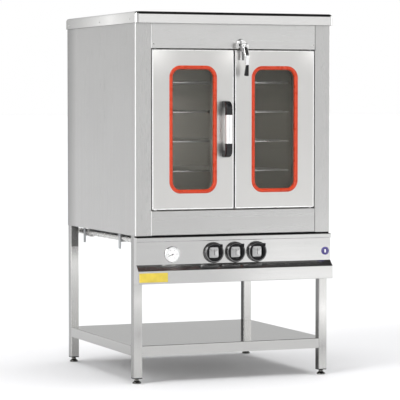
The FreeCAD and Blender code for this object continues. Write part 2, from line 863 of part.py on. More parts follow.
def gas_pipe():
    """Supply pipe under the left side, turned across as the tap manifold, with its inlet and union nut."""
    route = [V(supply_x, back - supply_end_inset, supply_z), V(supply_x, manifold_y, supply_z),
             V(supply_x, manifold_y, knob_z), V(knob_pitch + manifold_run_past, manifold_y, knob_z)]
    tube = bent_rod(route, supply_bend, supply_diameter)
    capped = route[:-1] + [route[-1] - ALONG_X * supply_wall]
    tube = tube.cut(bent_rod(capped, supply_bend, supply_diameter - 2 * supply_wall))
    inlet_start = route[0] - ALONG_Y * inlet_length
    ring = rod(supply_diameter + sheet, inlet_start, ALONG_Y, inlet_length)
    tube = tube.cut(ring.cut(rod(inlet_diameter, inlet_start, ALONG_Y, inlet_length)))
    union_y = back - union_from_back
    centre = V(supply_x, union_y, supply_z)
    corners = []
    for flat in range(union_flats + 1):
        angle = 2 * math.pi * flat / union_flats
        corners.append(centre + V(math.cos(angle), 0, math.sin(angle)) * (union_diameter / 2))
    nut = Part.Face(Part.makePolygon(corners)).extrude(ALONG_Y * union_length)
    return group([tube, nut.cut(rod(supply_diameter, centre, ALONG_Y, union_length))])


def gas_taps():
    """Tap bodies saddled on the manifold, each bored for its spindle."""
    taps = []
    half = tap_side / 2
    manifold = rod(supply_diameter, V(-body_width, manifold_y, knob_z), ALONG_X, 2 * body_width)
    for name, x in knob_places:
        body = box(x - half, x + half, face_plane + tap_front_gap, manifold_y, knob_z - half, knob_z + half)
        bore = rod(spindle_diameter + 2 * running_clearance, V(x, face_plane, knob_z), ALONG_Y,
                   tap_front_gap + spindle_in_tap + seat_gap)
        taps.append(body.cut([manifold, bore]))
    return group(taps)


def pipe_hangers():
    """Two straps on the left rail with a ledge under the supply pipe."""
    straps = []
    pipe_bottom = supply_z - supply_radius
    for setback in hanger_setbacks:
        y = front + setback
        strap = box(-leg_inner, -leg_inner + hanger_thickness, y, y + hanger_width,
                    pipe_bottom - hanger_tail, floor_to_body + hanger_upper_lap)
        ledge = box(-leg_inner, supply_x + supply_radius, y, y + hanger_width,
                    pipe_bottom - seat_gap - hanger_thickness, pipe_bottom - seat_gap)
        straps.append(joined([strap, ledge]))
    return group(straps)


def panel_outline():
    """Outer face of the control panel as (depth, height) corners, from its top edge to its lower return."""
    lip_plane = front - lip_forward
    apron_plane = front - apron_forward
    return [(leg_front, lip_top), (lip_plane, lip_top), (lip_plane, lip_bottom), (face_plane, lip_bottom),
            (face_plane, face_bottom), (apron_plane, slope_bottom), (apron_plane, apron_bottom),
            (apron_plane + panel_bottom_return, apron_bottom)]


def control_panel():
    """Folded panel with a top lip, a control face, a slope and an apron, closed by end plates."""
    half = half_body - panel_side_inset
    path = panel_outline()
    skin = folded_sheet(path, sheet, panel_bend, lambda u, v: V(-half, u, v), V(2 * half, 0, 0))
    end_outline = [V(-half, u, v) for u, v in path] + [V(-half, leg_front, apron_bottom)]
    end_radii = [0] + [panel_bend + sheet] * (len(path) - 2) + [0, 0]
    end = prism(end_outline, end_radii, V(sheet, 0, 0))
    panel = joined([skin, end, mirrored(end)])
    hole_places = [(spindle_hole_diameter, x, knob_z) for name, x in knob_places]
    hole_places.append((gauge_case_diameter, gauge_x, gauge_z))
    hole_places.append((igniter_body_diameter, igniter_x, igniter_z))
    holes = [rod(diameter, V(x, face_plane - sheet, z), ALONG_Y, 3 * sheet)
             for diameter, x, z in hole_places]
    return panel.cut(holes)


def knob(x):
    """Knob on its tap's spindle, with a flared skirt, a square recess and a square corner as its pointer."""
    seat = V(x, face_plane - knob_panel_gap, knob_z)
    outward = ALONG_Y * -1
    band = rod(knob_base_diameter, seat, outward, knob_base_band)
    flare = Part.makeCone(knob_base_diameter / 2, knob_rim_diameter / 2, knob_height - knob_base_band,
                          seat + outward * knob_base_band, outward)
    knob_front = seat.y - knob_height
    flare = flare.makeFillet(knob_rim_round, edges_at(flare, "Y", knob_front))
    pointer_back = seat.y - knob_pointer_lift
    pointer = box(x, x + knob_pointer_reach, pointer_back - knob_pointer_height, pointer_back,
                  knob_z, knob_z + knob_pointer_reach)
    half = knob_face_side / 2
    recess = rounded_plate(x - half, x + half, knob_z - half, knob_z + half, knob_face_round,
                           knob_front, seat.y - knob_face_height)
    socket = rod(spindle_diameter, seat, outward, spindle_in_knob)
    body = joined([band, flare, pointer]).cut([recess, socket])
    spindle_start = V(x, face_plane + tap_front_gap + spindle_in_tap, knob_z)
    spindle = rod(spindle_diameter, spindle_start, outward,
                  spindle_in_tap + tap_front_gap + knob_panel_gap + spindle_in_knob)
    return group([body, spindle])


def thermometer_case():
    """Round thermometer case through the panel, with its bezel, dial face and a seat for the lens."""
    rim = gauge_bezel_diameter / 2
    case = gauge_case_diameter / 2
    window = rim - gauge_bezel_lip
    lens_front = -gauge_bezel_height + gauge_lens_seat / 2
    lens_back = lens_front + gauge_lens_thickness
    lens_rim = window + gauge_lens_seat
    dial = -gauge_bezel_height + gauge_dial_depth
    pin = gauge_pin_diameter / 2 + running_clearance
    pin_end = dial + gauge_pin_reach + seat_gap
    profile = [(0, pin_end), (pin, pin_end), (pin, dial), (window, dial), (window, lens_back),
               (lens_rim, lens_back), (lens_rim, lens_front), (window, lens_front),
               (window, -gauge_bezel_height), (rim - gauge_lens_seat, -gauge_bezel_height),
               (rim, -gauge_bezel_height + gauge_lens_seat), (rim, 0), (case, 0),
               (case, gauge_case_depth), (0, gauge_case_depth)]
    return group([turned(profile, V(gauge_x, face_plane, gauge_z), ALONG_Y), thermometer_bulb()])


def bulb_foot():
    """Point on the hearth where the thermometer's bulb starts."""
    return V(-half_cavity + bulb_wall_gap, rail_back + feed_pipe_rail_gap, cavity_floor)


def thermometer_bulb():
    """Capillary tube from the back of the case up into the cavity, ending in the bulb."""
    leave = V(gauge_x, face_plane + gauge_case_depth, gauge_z)
    turn_up = leave + ALONG_Y * capillary_run_out
    crossing = turn_up + ALONG_Z * (knob_z + tap_side / 2 + feed_pipe_rise - gauge_z)
    foot_point = bulb_foot()
    rise = V(foot_point.x, foot_point.y, crossing.z + feed_pipe_tilt)
    capillary = bent_rod([leave, turn_up, crossing, rise, foot_point], capillary_bend, capillary_diameter)
    return joined([capillary, rod(bulb_diameter, foot_point, ALONG_Z, bulb_length)])


def thermometer_lens():
    """Glass disc held in the bezel."""
    radius = gauge_bezel_diameter / 2 - gauge_bezel_lip + gauge_lens_seat
    start = V(gauge_x, face_plane - gauge_bezel_height + gauge_lens_seat / 2, gauge_z)
    return rod(2 * radius, start, ALONG_Y, gauge_lens_thickness)


def thermometer_needle():
    """Pointer on a pin in the middle of the dial."""
    dial = face_plane - gauge_bezel_height + gauge_dial_depth
    needle_back = dial - seat_gap
    centre = V(gauge_x, dial, gauge_z)
    half = gauge_needle_width / 2
    bar = box(gauge_x - gauge_needle_tail, gauge_x + gauge_needle_length,
              needle_back - gauge_needle_thickness, needle_back, gauge_z - half, gauge_z + half)
    bar.rotate(centre, ALONG_Y * -1, gauge_needle_angle)
    hub = rod(gauge_needle_hub, V(gauge_x, needle_back, gauge_z), ALONG_Y * -1, gauge_needle_thickness)
    pin = rod(gauge_pin_diameter, V(gauge_x, needle_back, gauge_z), ALONG_Y, seat_gap + gauge_pin_reach)
    return joined([bar, hub, pin])


def igniter_body():
    """Push-button igniter body through the panel, with a ring in front and a stepped bore."""
    ring = igniter_ring_diameter / 2
    body = igniter_body_diameter / 2
    well = igniter_cap_diameter / 2 + igniter_cap_clearance
    stem = igniter_stem_diameter / 2 + running_clearance
    well_end = igniter_travel + igniter_well_margin
    profile = [(well, -igniter_ring_height), (ring, -igniter_ring_height), (ring, 0), (body, 0),
               (body, igniter_body_depth), (stem, igniter_body_depth), (stem, well_end), (well, well_end)]
    return turned(profile, V(igniter_x, face_plane, igniter_z), ALONG_Y)


def igniter_button():
    """Round button cap on a guide stem."""
    cap_front = face_plane - igniter_cap_proud
    cap = rod(igniter_cap_diameter, V(igniter_x, cap_front, igniter_z), ALONG_Y, igniter_cap_proud)
    cap = cap.makeFillet(igniter_cap_round, edges_at(cap, "Y", cap_front))
    stem = rod(igniter_stem_diameter, V(igniter_x, face_plane, igniter_z), ALONG_Y, igniter_stem_length)
    return joined([cap, stem])


def hinge_pins():
    """Pivot pins above and below each door; the lower ones have a collar that carries the door."""
    pins = []
    upper = V(pivot_x, pivot_y, opening_top)
    lower = V(pivot_x, pivot_y, opening_bottom)
    for base, outward, collar in ((upper, ALONG_Z * -1, False), (lower, ALONG_Z, True)):
        root = base - outward * sheet
        pieces = [rod(pivot_pin_diameter, root, outward, sheet + door_end_gap + pivot_pin_reach),
                  rod(pivot_flange_diameter, root, outward * -1, pivot_flange_thickness)]
        if collar:
            pieces.append(rod(pivot_collar_diameter, base, outward, door_end_gap - seat_gap))
        pins.append(joined(pieces))
    return group(pins + [mirrored(pin) for pin in pins])


def window_plate(inset, y0, y1):
    """Rounded plate of the left window's outline, smaller by an inset all round."""
    return rounded_plate(window_left + inset, window_right - inset,
                         window_bottom + inset, window_top - inset,
                         window_corner_radius - inset, y0, y1)


def bush_block(top):
    """Block in a corner of the left door that is bored for a pivot pin."""
    x0 = pivot_x - bush_width / 2
    y0 = front + sheet
    y1 = pivot_y + bush_width / 2
    if top:
        return box(x0, x0 + bush_width, y0, y1, door_top - sheet - bush_height, door_top - sheet)
    return box(x0, x0 + bush_width, y0, y1, door_bottom + sheet, door_bottom + sheet + bush_height)


def pivot_bore(diameter):
    """Bores for both pivot pins of the left door, as deep as the pins reach."""
    depth = pivot_pin_reach + seat_gap
    return [rod(diameter, V(pivot_x, pivot_y, door_top), ALONG_Z * -1, depth),
            rod(diameter, V(pivot_x, pivot_y, door_bottom), ALONG_Z, depth)]


def hinge_bushes():
    """Bored hinge blocks in the upper and lower corner of the left door."""
    bores = pivot_bore(pivot_pin_diameter + 2 * running_clearance)
    return group([bush_block(True).cut(bores[0]), bush_block(False).cut(bores[1])])


def door_skin():
    """Front pan of the left door with rounded edges, a window cut-out and holes for the pivots."""
    outer = box(hinge_edge, free_edge, front, liner_plane, door_bottom, door_top)
    outer = outer.makeFillet(door_edge_radius, edges_at(outer, "Y", front))
    hollow = box(hinge_edge + sheet, free_edge - sheet, front + sheet, liner_plane,
                 door_bottom + sheet, door_top - sheet)
    skin = outer.cut(hollow)
    skin = skin.cut(window_plate(gasket_lip, front - sheet, front + 2 * sheet))
    return skin.cut(pivot_bore(pivot_pin_diameter + 2 * seat_gap))


def window_glass():
    """Outer pane held by the gasket and inner pane lying on the liner's lip."""
    outer_inset = gasket_width - glass_bite
    outer = window_plate(outer_inset, front + glass_setback, front + glass_setback + glass_thickness)
    inner_inset = gasket_width - sleeve_margin + pane_clearance
    inner = window_plate(inner_inset, liner_plane - glass_thickness, liner_plane)
    return group([outer, inner])


def window_gasket():
    """Rubber profile round the outer pane, gripping the skin's edge and the glass."""
    gasket_front = front - gasket_proud
    ring = window_plate(0, gasket_front, gasket_back)
    ring = ring.cut(window_plate(gasket_width, gasket_front, gasket_back))
    ring = ring.makeFillet(gasket_round, edges_at(ring, "Y", gasket_front))
    return ring.cut([door_skin(), window_glass().Solids[0]])


def door_liner():
    """Inner sheet of the left door with a sleeve round the window and a lip for the inner pane."""
    plate = box(hinge_edge, free_edge, liner_plane, door_back, door_bottom, door_top)
    sleeve_inset = gasket_width - sleeve_margin
    sleeve = window_plate(sleeve_inset - sleeve_wall, gasket_back, liner_plane)
    opening = window_plate(sleeve_inset + pane_lip, liner_plane, door_back)
    return joined([plate, sleeve]).cut([window_plate(sleeve_inset, gasket_back, liner_plane), opening])


def door_insulation():
    """Wool between the left door's sheets, round the window and the hinge blocks."""
    slab = box(hinge_edge + sheet, free_edge - sheet, front + sheet, liner_plane,
               door_bottom + sheet, door_top - sheet)
    sleeve_outer = gasket_width - sleeve_margin - sleeve_wall
    return slab.cut([window_plate(0, front, gasket_back), window_plate(sleeve_outer, front, liner_plane),
                     bush_block(True), bush_block(False)])


def handle_centre_x():
    """Middle of the handle across the left door."""
    return free_edge - handle_edge_inset


def handle_brackets():
    """Two elbow brackets that stand out from the left door and turn along it towards the grip."""
    top = door_top - handle_below_door_top
    x0 = handle_centre_x() - handle_width / 2
    outer = front - handle_reach
    inner = outer + handle_grip_diameter
    bracket_end = top - handle_bracket_length
    foot_bottom = top - handle_foot_height
    shoulder = top - handle_slope
    corners = [V(x0, front, top), V(x0, inner, top), V(x0, outer, shoulder), V(x0, outer, bracket_end),
               V(x0, inner, bracket_end), V(x0, inner, foot_bottom), V(x0, front, foot_bottom)]
    radii = [0, handle_slope, handle_slope / 2, 0, 0, handle_round, 0]
    upper = prism(corners, radii, V(handle_width, 0, 0))
    outline_edges = edges_at(upper, "X", x0) + edges_at(upper, "X", x0 + handle_width)
    front_edges = [edge for edge in outline_edges
                   if edge.BoundBox.Center.y < inner - handle_round and edge.BoundBox.ZLength > seat_gap]
    upper = upper.makeFillet(handle_round, front_edges)
    middle = V(0, 0, top - handle_length / 2)
    return group([upper, upper.mirror(middle, ALONG_Z)])


def handle_grip():
    """Round grip bar between the two brackets."""
    top = door_top - handle_below_door_top - handle_bracket_length
    length = handle_length - 2 * handle_bracket_length
    y = front - handle_reach + handle_grip_diameter / 2
    return rod(handle_grip_diameter, V(handle_centre_x(), y, top - length), ALONG_Z, length)


def latch_bracket():
    """Cranked plate on the right door that holds the latch pin in front of the header."""
    half = latch_plate_width / 2
    thickness = latch_plate_thickness
    knee = door_top - thickness
    foot_bottom = knee - latch_foot_height
    corners = [V(latch_x - half, y, z) for y, z in (
        (front, foot_bottom), (front - thickness, foot_bottom), (front - thickness, knee - thickness),
        (latch_plate_front, knee - thickness), (latch_plate_front, latch_z + half),
        (latch_plate_back, latch_z + half), (latch_plate_back, knee), (front, knee))]
    radii = [0, 0, thickness / 2, thickness, 0, 0, thickness / 2, 0]
    plate = prism(corners, radii, ALONG_X * latch_plate_width)
    uprights = [edge for edge in plate.Edges
                if edge.BoundBox.ZMin > latch_z + half - 1e-4 and edge.BoundBox.YLength > thickness / 2]
    plate = plate.makeFillet(half - seat_gap, uprights)
    bore = rod(latch_pin_diameter + 2 * running_clearance, V(latch_x, latch_plate_front, latch_z), ALONG_Y,
               latch_plate_thickness)
    return plate.cut(bore)


def latch_lever():
    """Hub, bowed arm and pin, with the tongue behind the bracket that catches the keeper."""
    centre = V(latch_x, latch_hub_front, latch_z)
    hub = rod(latch_hub_diameter, centre, ALONG_Y, latch_hub_length)
    pin = rod(latch_pin_diameter, centre, ALONG_Y, tongue_back - latch_hub_front)
    half = latch_tongue_width / 2
    tongue = box(latch_x - half, latch_x + half, tongue_front, tongue_back,
                 latch_z - latch_pin_diameter / 2, latch_z + latch_tongue_length)
    arm = bent_rod([latch_arm_start, latch_arm_knee, latch_arm_end], latch_arm_bow, latch_arm_diameter)
    return joined([hub, pin, tongue, arm])


def latch_grip():
    """Black grip at the end of the lever, wider towards its lower end."""
    grip = Part.makeCone(latch_grip_top_diameter / 2, latch_grip_end_diameter / 2, latch_grip_length,
                         latch_arm_end, (latch_arm_end - latch_arm_knee).normalize())
    rims = [edge for edge in grip.Edges if edge.Closed]
    return grip.makeFillet(latch_grip_round, rims)


def latch_keeper():
    """Domed rosette on the header with a hooked lug that the latch tongue turns behind."""
    centre = V(latch_x, front, latch_z + keeper_lift)
    radius = keeper_diameter / 2
    ball = (radius * radius + keeper_height * keeper_height) / (2 * keeper_height)
    dome = Part.makeSphere(ball, centre + ALONG_Y * (ball - keeper_height))
    dome = dome.common(box(centre.x - radius, centre.x + radius, front - keeper_height, front,
                           centre.z - radius, centre.z + radius))
    tip = latch_x - latch_tongue_length - keeper_tip_gap
    lip_back = tongue_front - keeper_lip_gap
    lip_front = lip_back - keeper_plate
    low = latch_z - keeper_lip_height / 2
    high = latch_z + keeper_lip_height / 2
    post = box(tip - keeper_plate, tip, lip_front, front, low, high)
    lip = box(tip - keeper_plate, tip - keeper_plate + keeper_lip_length, lip_front, lip_back, low, high)
    base = box(tip - keeper_plate, latch_x, front - keeper_plate, front, low, high)
    return joined([dome, post, lip, base])


def screw(seat, outward, shank):
    """Domed screw: its head lies on the seat and its shank goes in."""
    radius = screw_head_diameter / 2
    ball = (radius * radius + screw_head_height * screw_head_height) / (2 * screw_head_height)
    cap = Part.makeSphere(ball, seat - outward * (ball - screw_head_height))
    keep = rod(2 * screw_head_diameter, seat, outward, 2 * screw_head_height)
    return joined([cap.common(keep), rod(screw_shank_diameter, seat, outward * -1, shank)])


def screws():
    """Cover screws at both sides, header screws and back panel screws."""
    pieces = []
    cover_face = half_body + cover_side_overhang
    for side in (-1, 1):
        for setback in cover_screw_setbacks:
            seat = V(side * cover_face, front + setback, body_top + cover_screw_lift)
            pieces.append(screw(seat, ALONG_X * side, cover_side_overhang))
        header_seat = V(side * header_screw_x, front, opening_top + header_screw_lift)
        pieces.append(screw(header_seat, ALONG_Y * -1, sheet))
    pieces += [screw(seat, ALONG_Y, sheet) for seat in back_screw_seats()]
    return group(pieces)


def all_nodes():
    """Every sub-part by its node name."""
    nodes = {
        "stand_frame": stand_frame(),
        "undershelf": undershelf(),
        "foot_plugs": foot_plugs(),
        "side_panel_left": side_panel_left(),
        "side_panel_right": mirrored(side_panel_left()),
        "back_panel": back_panel(),
        "top_cover": top_cover(),
        "stile_left": stile_left(),
        "stile_right": mirrored(stile_left()),
        "header_rail": header_rail(),
        "sill_rail": sill_rail(),
        "base_pan": base_pan(),
        "flue_duct": flue_duct(),
        "insulation": insulation(),
        "cavity_liner": cavity_liner(),
        "hearth_plate": hearth_plate(),
        "door_seal": door_seal(),
        "rack_guides": rack_guides(),
        "burners": burners(),
        "injector_pipes": injector_pipes(),
        "gas_pipe": gas_pipe(),
        "gas_taps": gas_taps(),
        "pipe_hangers": pipe_hangers(),
        "control_panel": control_panel(),
        "thermometer_case": thermometer_case(),
        "thermometer_lens": thermometer_lens(),
        "thermometer_needle": thermometer_needle(),
        "igniter_body": igniter_body(),
        "igniter_button": igniter_button(),
        "hinge_pins": hinge_pins(),
        "latch_keeper": latch_keeper(),
        "screws": screws(),
        "handle_brackets": handle_brackets(),
        "handle_grip": handle_grip(),
        "latch_bracket": latch_bracket(),
        "latch_lever": latch_lever(),
        "latch_grip": latch_grip(),
    }
    for corner, centre in leg_centres().items():
        nodes["foot_" + corner] = foot(centre)
    for index, level in enumerate(rack_levels):
        nodes["wire_rack_%d" % (index + 1)] = wire_rack(level)
    for name, x in knob_places:
        nodes[name] = knob(x)
    door_pieces = {"door_skin": door_skin(), "door_liner": door_liner(),
                   "door_insulation": door_insulation(), "hinge_bushes": hinge_bushes(),
                   "window_gasket": window_gasket(), "window_glass": window_glass()}
    for name, shape in door_pieces.items():
        nodes["left_" + name] = shape
        nodes["right_" + name] = mirrored(shape)
    return nodes


os.makedirs("parts", exist_ok=True)
for node_name, node_shape in all_nodes().items():
    node_shape.exportStep("parts/%s.step" % node_name)
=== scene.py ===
"""Looks of a gas pastry oven on a stand, laid out as an add-on and run as a script."""

import json
import math

import bmesh
import bpy
import numpy as np
from mathutils import Matrix, Vector


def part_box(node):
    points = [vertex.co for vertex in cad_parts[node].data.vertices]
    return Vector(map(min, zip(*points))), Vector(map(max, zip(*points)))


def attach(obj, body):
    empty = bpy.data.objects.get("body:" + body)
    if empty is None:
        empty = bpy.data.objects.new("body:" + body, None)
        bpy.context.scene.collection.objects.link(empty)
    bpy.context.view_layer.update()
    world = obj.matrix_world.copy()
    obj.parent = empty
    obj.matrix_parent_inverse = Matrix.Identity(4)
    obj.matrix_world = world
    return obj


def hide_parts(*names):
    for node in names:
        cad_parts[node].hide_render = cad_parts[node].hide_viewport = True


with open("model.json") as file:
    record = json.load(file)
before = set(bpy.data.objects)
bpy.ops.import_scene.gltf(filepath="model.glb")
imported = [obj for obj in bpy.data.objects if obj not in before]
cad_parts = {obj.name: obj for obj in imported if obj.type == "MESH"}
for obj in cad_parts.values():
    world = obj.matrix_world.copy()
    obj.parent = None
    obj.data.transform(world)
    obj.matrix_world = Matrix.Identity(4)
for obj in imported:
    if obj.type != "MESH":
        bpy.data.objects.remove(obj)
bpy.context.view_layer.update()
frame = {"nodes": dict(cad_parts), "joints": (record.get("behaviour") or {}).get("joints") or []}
JOINT_PLACE = {joint["name"]: joint.get("pos_m") for joint in frame["joints"]}

bl_info = {
    "name": "Pastry oven looks",
    "version": (1, 0, 0),
    "blender": (4, 5, 0),
    "location": "3D View > Sidebar > Oven",
    "description": "Finishes, fittings and stage of a two-door gas pastry oven",
    "category": "Object",
}

MM = 0.001
FRONT = np.array((0.0, -1.0, 0.0))
ACROSS = np.array((1.0, 0.0, 0.0))
UP = np.array((0.0, 0.0, 1.0))

# Edges that turn by more than this stay sharp
SHARP_ANGLE = math.radians(40.0)

# How the grain's noise is stretched for each rolling direction
ALONG_X = (1.0, 60.0, 60.0)
ALONG_Y = (60.0, 1.0, 60.0)
ALONG_Z = (60.0, 60.0, 1.0)

# Soft boxes and dim stretches of the room: axis, inner and outer half angle in degrees, added brightness
PATCHES = (((-0.95, -0.25, 0.15), 18.0, 34.0, 1.6), ((0.95, -0.1, 0.15), 15.0, 32.0, 1.2),
           ((-0.35, -0.93, 0.1), 18.0, 42.0, -0.35), ((0.37, 0.92, 0.05), 12.0, 36.0, -0.3),
           ((0.37, -0.91, 0.25), 6.0, 17.0, 0.4), ((-0.72, -0.37, 0.58), 7.0, 14.0, 9.0))

# Radius and height of the corners of turned forms and how far each is eased
FOOT_BELL = MM * np.array([(0, 0), (17, 0), (20, 2), (20, 6.5), (11, 12), (9.5, 22), (0, 22)])
FOOT_ROUND = MM * np.array([0, 1, 1.5, 4, 4, 0.6, 0])
LATCH_HUB = MM * np.array([(0, 0), (5, 0), (5, 7.8), (11.5, 7.8), (11.5, 22), (0, 22)])
HUB_ROUND = MM * np.array([0, 0, 0, 0.5, 2, 0])

# Share of the cavity's height and how bright the steel is there
CAVITY_TONES = ((0.08, 0.6), (0.38, 1.0), (0.66, 1.0), (0.96, 0.32))

# Painted highlights and painted shade along the legs: leg, height and reach in millimetres, how much lighter
# or darker
LEG_PAINTED_LIGHT = (("back_left", 490, 190, 1.6), ("back_right", 480, 260, 1.3), ("front_right", 300, 130, 1.3),
              ("front_right", 130, 120, 0.7), ("front_left", 370, 110, 1.25), ("front_left", 220, 100, 0.8))

# Degrees round a door's edge at the gap between the doors where its painted highlight ends and its black
# strip of painted shade starts
HIGHLIGHT_END, GAP_SHADE_START = 42.0, 46.0

# Thermometer: where its face lies, its number of marks, and the angles of its first and last mark
DIAL_PLANE = -448.8 * MM
SCALE_MARKS = 51
SCALE_TURN = (234.0, -54.0)


# Surfaces


def unit(vectors):
    """Vectors scaled to a length of 1."""
    return vectors / np.linalg.norm(vectors, axis=-1, keepdims=True)


def doubled_ends(rows):
    """Rows with the first and the last given twice."""
    return np.concatenate([rows[:1], rows, rows[-1:]])


def softened(corners, radii, steps=6):
    """A line whose inner corners become parabolas, from one radius before each corner to one after it."""
    corners = np.asarray(corners, float)
    radii = np.broadcast_to(np.asarray(radii, float), len(corners)).copy()
    radii[[0, -1]] = 0.0
    start = corners + unit(np.roll(corners, 1, axis=0) - corners) * radii[:, None]
    end = corners + unit(np.roll(corners, -1, axis=0) - corners) * radii[:, None]
    t = np.linspace(0.0, 1.0, steps)[None, :, None]
    curve = (1 - t) ** 2 * start[:, None] + 2 * t * (1 - t) * corners[:, None] + t ** 2 * end[:, None]
    return curve.reshape(-1, corners.shape[1])


def turned(outline, centre, axis=FRONT, turns=72):
    """A form turned about an axis through its centre, from an outline of (radius, height)."""
    outline = np.asarray(outline, float)
    first = unit(np.cross(UP if abs(axis[2]) < 0.9 else ACROSS, axis))
    second = np.cross(axis, first)
    angle = np.linspace(0.0, 2 * np.pi, turns, endpoint=False)
    ring = np.cos(angle)[:, None] * first + np.sin(angle)[:, None] * second
    return np.asarray(centre) + outline[:, :1, None] * ring + outline[:, 1:, None] * axis


def disc(radius, height):
    """The outline of a plain cylinder, for turning."""
    return [(0.0, 0.0), (radius, 0.0), (radius, height), (0.0, height)]


def squircle(half_width, half_height, power, points=56):
    """A closed outline between an ellipse and a rectangle: |x/a|^n + |y/b|^n = 1."""
    angle = np.linspace(0.0, 2 * np.pi, points, endpoint=False)
    c, s = np.cos(angle), np.sin(angle)
    return np.stack([half_width * np.sign(c) * np.abs(c) ** (2 / power),
                     half_height * np.sign(s) * np.abs(s) ** (2 / power)], axis=1)


def carried(outline, path, first, second, scale=1.0):
    """An outline, or one for each point, carried along a path with its two coordinates along two directions.
    Each point has its scale, and a scale of 0 closes an end."""
    path = np.asarray(path, float)
    first, second = np.broadcast_to(first, path.shape), np.broadcast_to(second, path.shape)
    grown = outline * np.broadcast_to(scale, len(path))[:, None, None]
    return path[:, None] + grown[..., :1] * first[:, None] + grown[..., 1:] * second[:, None]


def round_window(low, high, radius, steps=12):
    """Points on the corner arcs of a rounded rectangle between two (x, z) corners, each with its way out."""
    left, bottom = np.asarray(low, float) + radius
    right, top = np.asarray(high, float) - radius
    centres = np.array([(right, top), (left, top), (left, bottom), (right, bottom)])
    quarter = np.arange(4)[:, None] * np.pi / 2 + np.linspace(0.0, np.pi / 2, steps)[None]
    outward = np.stack([np.cos(quarter), np.sin(quarter)], axis=-1)
    points = centres[:, None] + radius * outward
    return points.reshape(-1, 2), outward.reshape(-1, 2)


def stacked(rows, foot):
    """Rounded squares laid over one another towards the front. Each row gives half the width and the power of
    a squircle and its height over the foot, lengths in millimetres. A width of 0 closes an end."""
    outlines = MM * np.stack([squircle(half, half, power, 96) for half, power, height in rows])
    path = [foot + height * MM * FRONT for half, power, height in rows]
    return carried(outlines, path, ACROSS, UP)


def eased_slab(low, high, radius, back, thickness, ease):
    """A rounded rectangle between two (x, z) corners, made thick towards the front, its front edge eased."""
    points, outward = round_window(low, high, radius, 6)
    middle = np.broadcast_to((np.asarray(low) + np.asarray(high)) / 2, points.shape)
    flat = np.stack([middle, points, points, points - 0.3 * ease * outward, points - ease * outward, middle])
    depth = np.array([0.0, 0.0, thickness - ease, thickness - 0.3 * ease, thickness, thickness])
    depth = np.broadcast_to(depth[:, None], flat.shape[:2])
    return np.stack([flat[..., 0], back - depth, flat[..., 1]], axis=-1)


def folded_edge(start, end, outward, bend, turn=(0.0, 90.0), border=0.0, tail=0.0):
    """A skin on a folded edge: a stretch of the quarter turn from the front to the outward direction, with a
    flat border before it and a flat tail after it, carried from start to end."""
    skin = sizes().edge_skin
    angle = np.radians(np.linspace(*turn, 9))
    reach = doubled_ends(np.stack([np.cos(angle), np.sin(angle)], axis=1))
    along = np.stack([-np.sin(angle), np.cos(angle)], axis=1)
    slide = np.concatenate([-border * along[:1], 0 * along, tail * along[-1:]])
    outline = np.concatenate([(bend + skin) * reach + slide, ((bend - skin) * reach + slide)[::-1]])
    return carried(outline, [start, start, end, end], FRONT, outward, (0.0, 1.0, 1.0, 0.0))


def bent_bar(outline, corners, radius, scale):
    """A bar along eased corners: its outline stays square to the run, is scaled by the share of the length
    gone by, and is closed at both ends."""
    path = softened(corners, radius, 12)
    step = np.linalg.norm(np.diff(path, axis=0), axis=1)
    path = path[np.concatenate([[True], step > 1e-6])]
    second = unit(np.cross(unit(np.gradient(path, axis=0)), ACROSS))
    gone = np.concatenate([[0.0], np.cumsum(np.linalg.norm(np.diff(path, axis=0), axis=1))])
    grown = np.interp(gone / gone[-1], *np.transpose(scale))
    return carried(outline, doubled_ends(path), ACROSS, doubled_ends(second), [0.0, *grown, 0.0])


def blocks(centres, first, second, third, measures):
    """Many small boxes: each centre plus or minus half its size along its own three directions."""
    corner = np.array([(x, y, z) for x in (-0.5, 0.5) for y in (-0.5, 0.5) for z in (-0.5, 0.5)])
    axes = np.stack([np.broadcast_to(way, np.shape(centres)) for way in (first, second, third)], axis=1)
    steps = corner[None] * np.broadcast_to(measures, np.shape(centres))[:, None]
    return np.asarray(centres)[:, None] + np.einsum("nck,nkd->ncd", steps, axes)


BLOCK_FACES = np.array([(0, 1, 3, 2), (4, 6, 7, 5), (0, 4, 5, 1), (2, 3, 7, 6), (0, 2, 6, 4), (1, 5, 7, 3)])


def grid_faces(rows, columns, close_rows):
    """The quads between the points of a grid whose rows are closed lines. Where asked, the last row is joined
    to the first."""
    i, j = np.meshgrid(np.arange(rows if close_rows else rows - 1), np.arange(columns), indexing="ij")
    k, m = (i + 1) % rows, (j + 1) % columns
    return np.stack([i * columns + j, k * columns + j, k * columns + m, i * columns + m], -1).reshape(-1, 4)


def closed_up(mesh):
    """Merges seams and poles, points the faces outwards and shades all but the sharp edges smooth."""
    work = bmesh.new()
    work.from_mesh(mesh)
    bmesh.ops.remove_doubles(work, verts=work.verts, dist=2e-6)
    bmesh.ops.dissolve_degenerate(work, edges=work.edges, dist=1e-6)
    bmesh.ops.recalc_face_normals(work, faces=work.faces)
    work.to_mesh(mesh)
    work.free()
    mesh.polygons.foreach_set("use_smooth", np.ones(len(mesh.polygons), bool))
    mesh.set_sharp_from_angle(angle=SHARP_ANGLE)


def piece(name, grids, material, body, stands_for=(), boxes=(), close_rows=False):
    """One piece of the oven from its grids of points and its boxes."""
    points, faces, count = [], [], 0
    for grid in grids:
        rows, columns = grid.shape[:2]
        points.append(grid.reshape(-1, 3))
        faces.append(grid_faces(rows, columns, close_rows) + count)
        count += rows * columns
    if len(boxes):
        points.append(boxes.reshape(-1, 3))
        faces.append((BLOCK_FACES[None] + count + 8 * np.arange(len(boxes))[:, None, None]).reshape(-1, 4))
    mesh = bpy.data.meshes.new(name)
    mesh.from_pydata(np.concatenate(points), [], np.concatenate(faces))
    closed_up(mesh)
    seated(bpy.data.objects.new(name, mesh), material, body, stands_for)


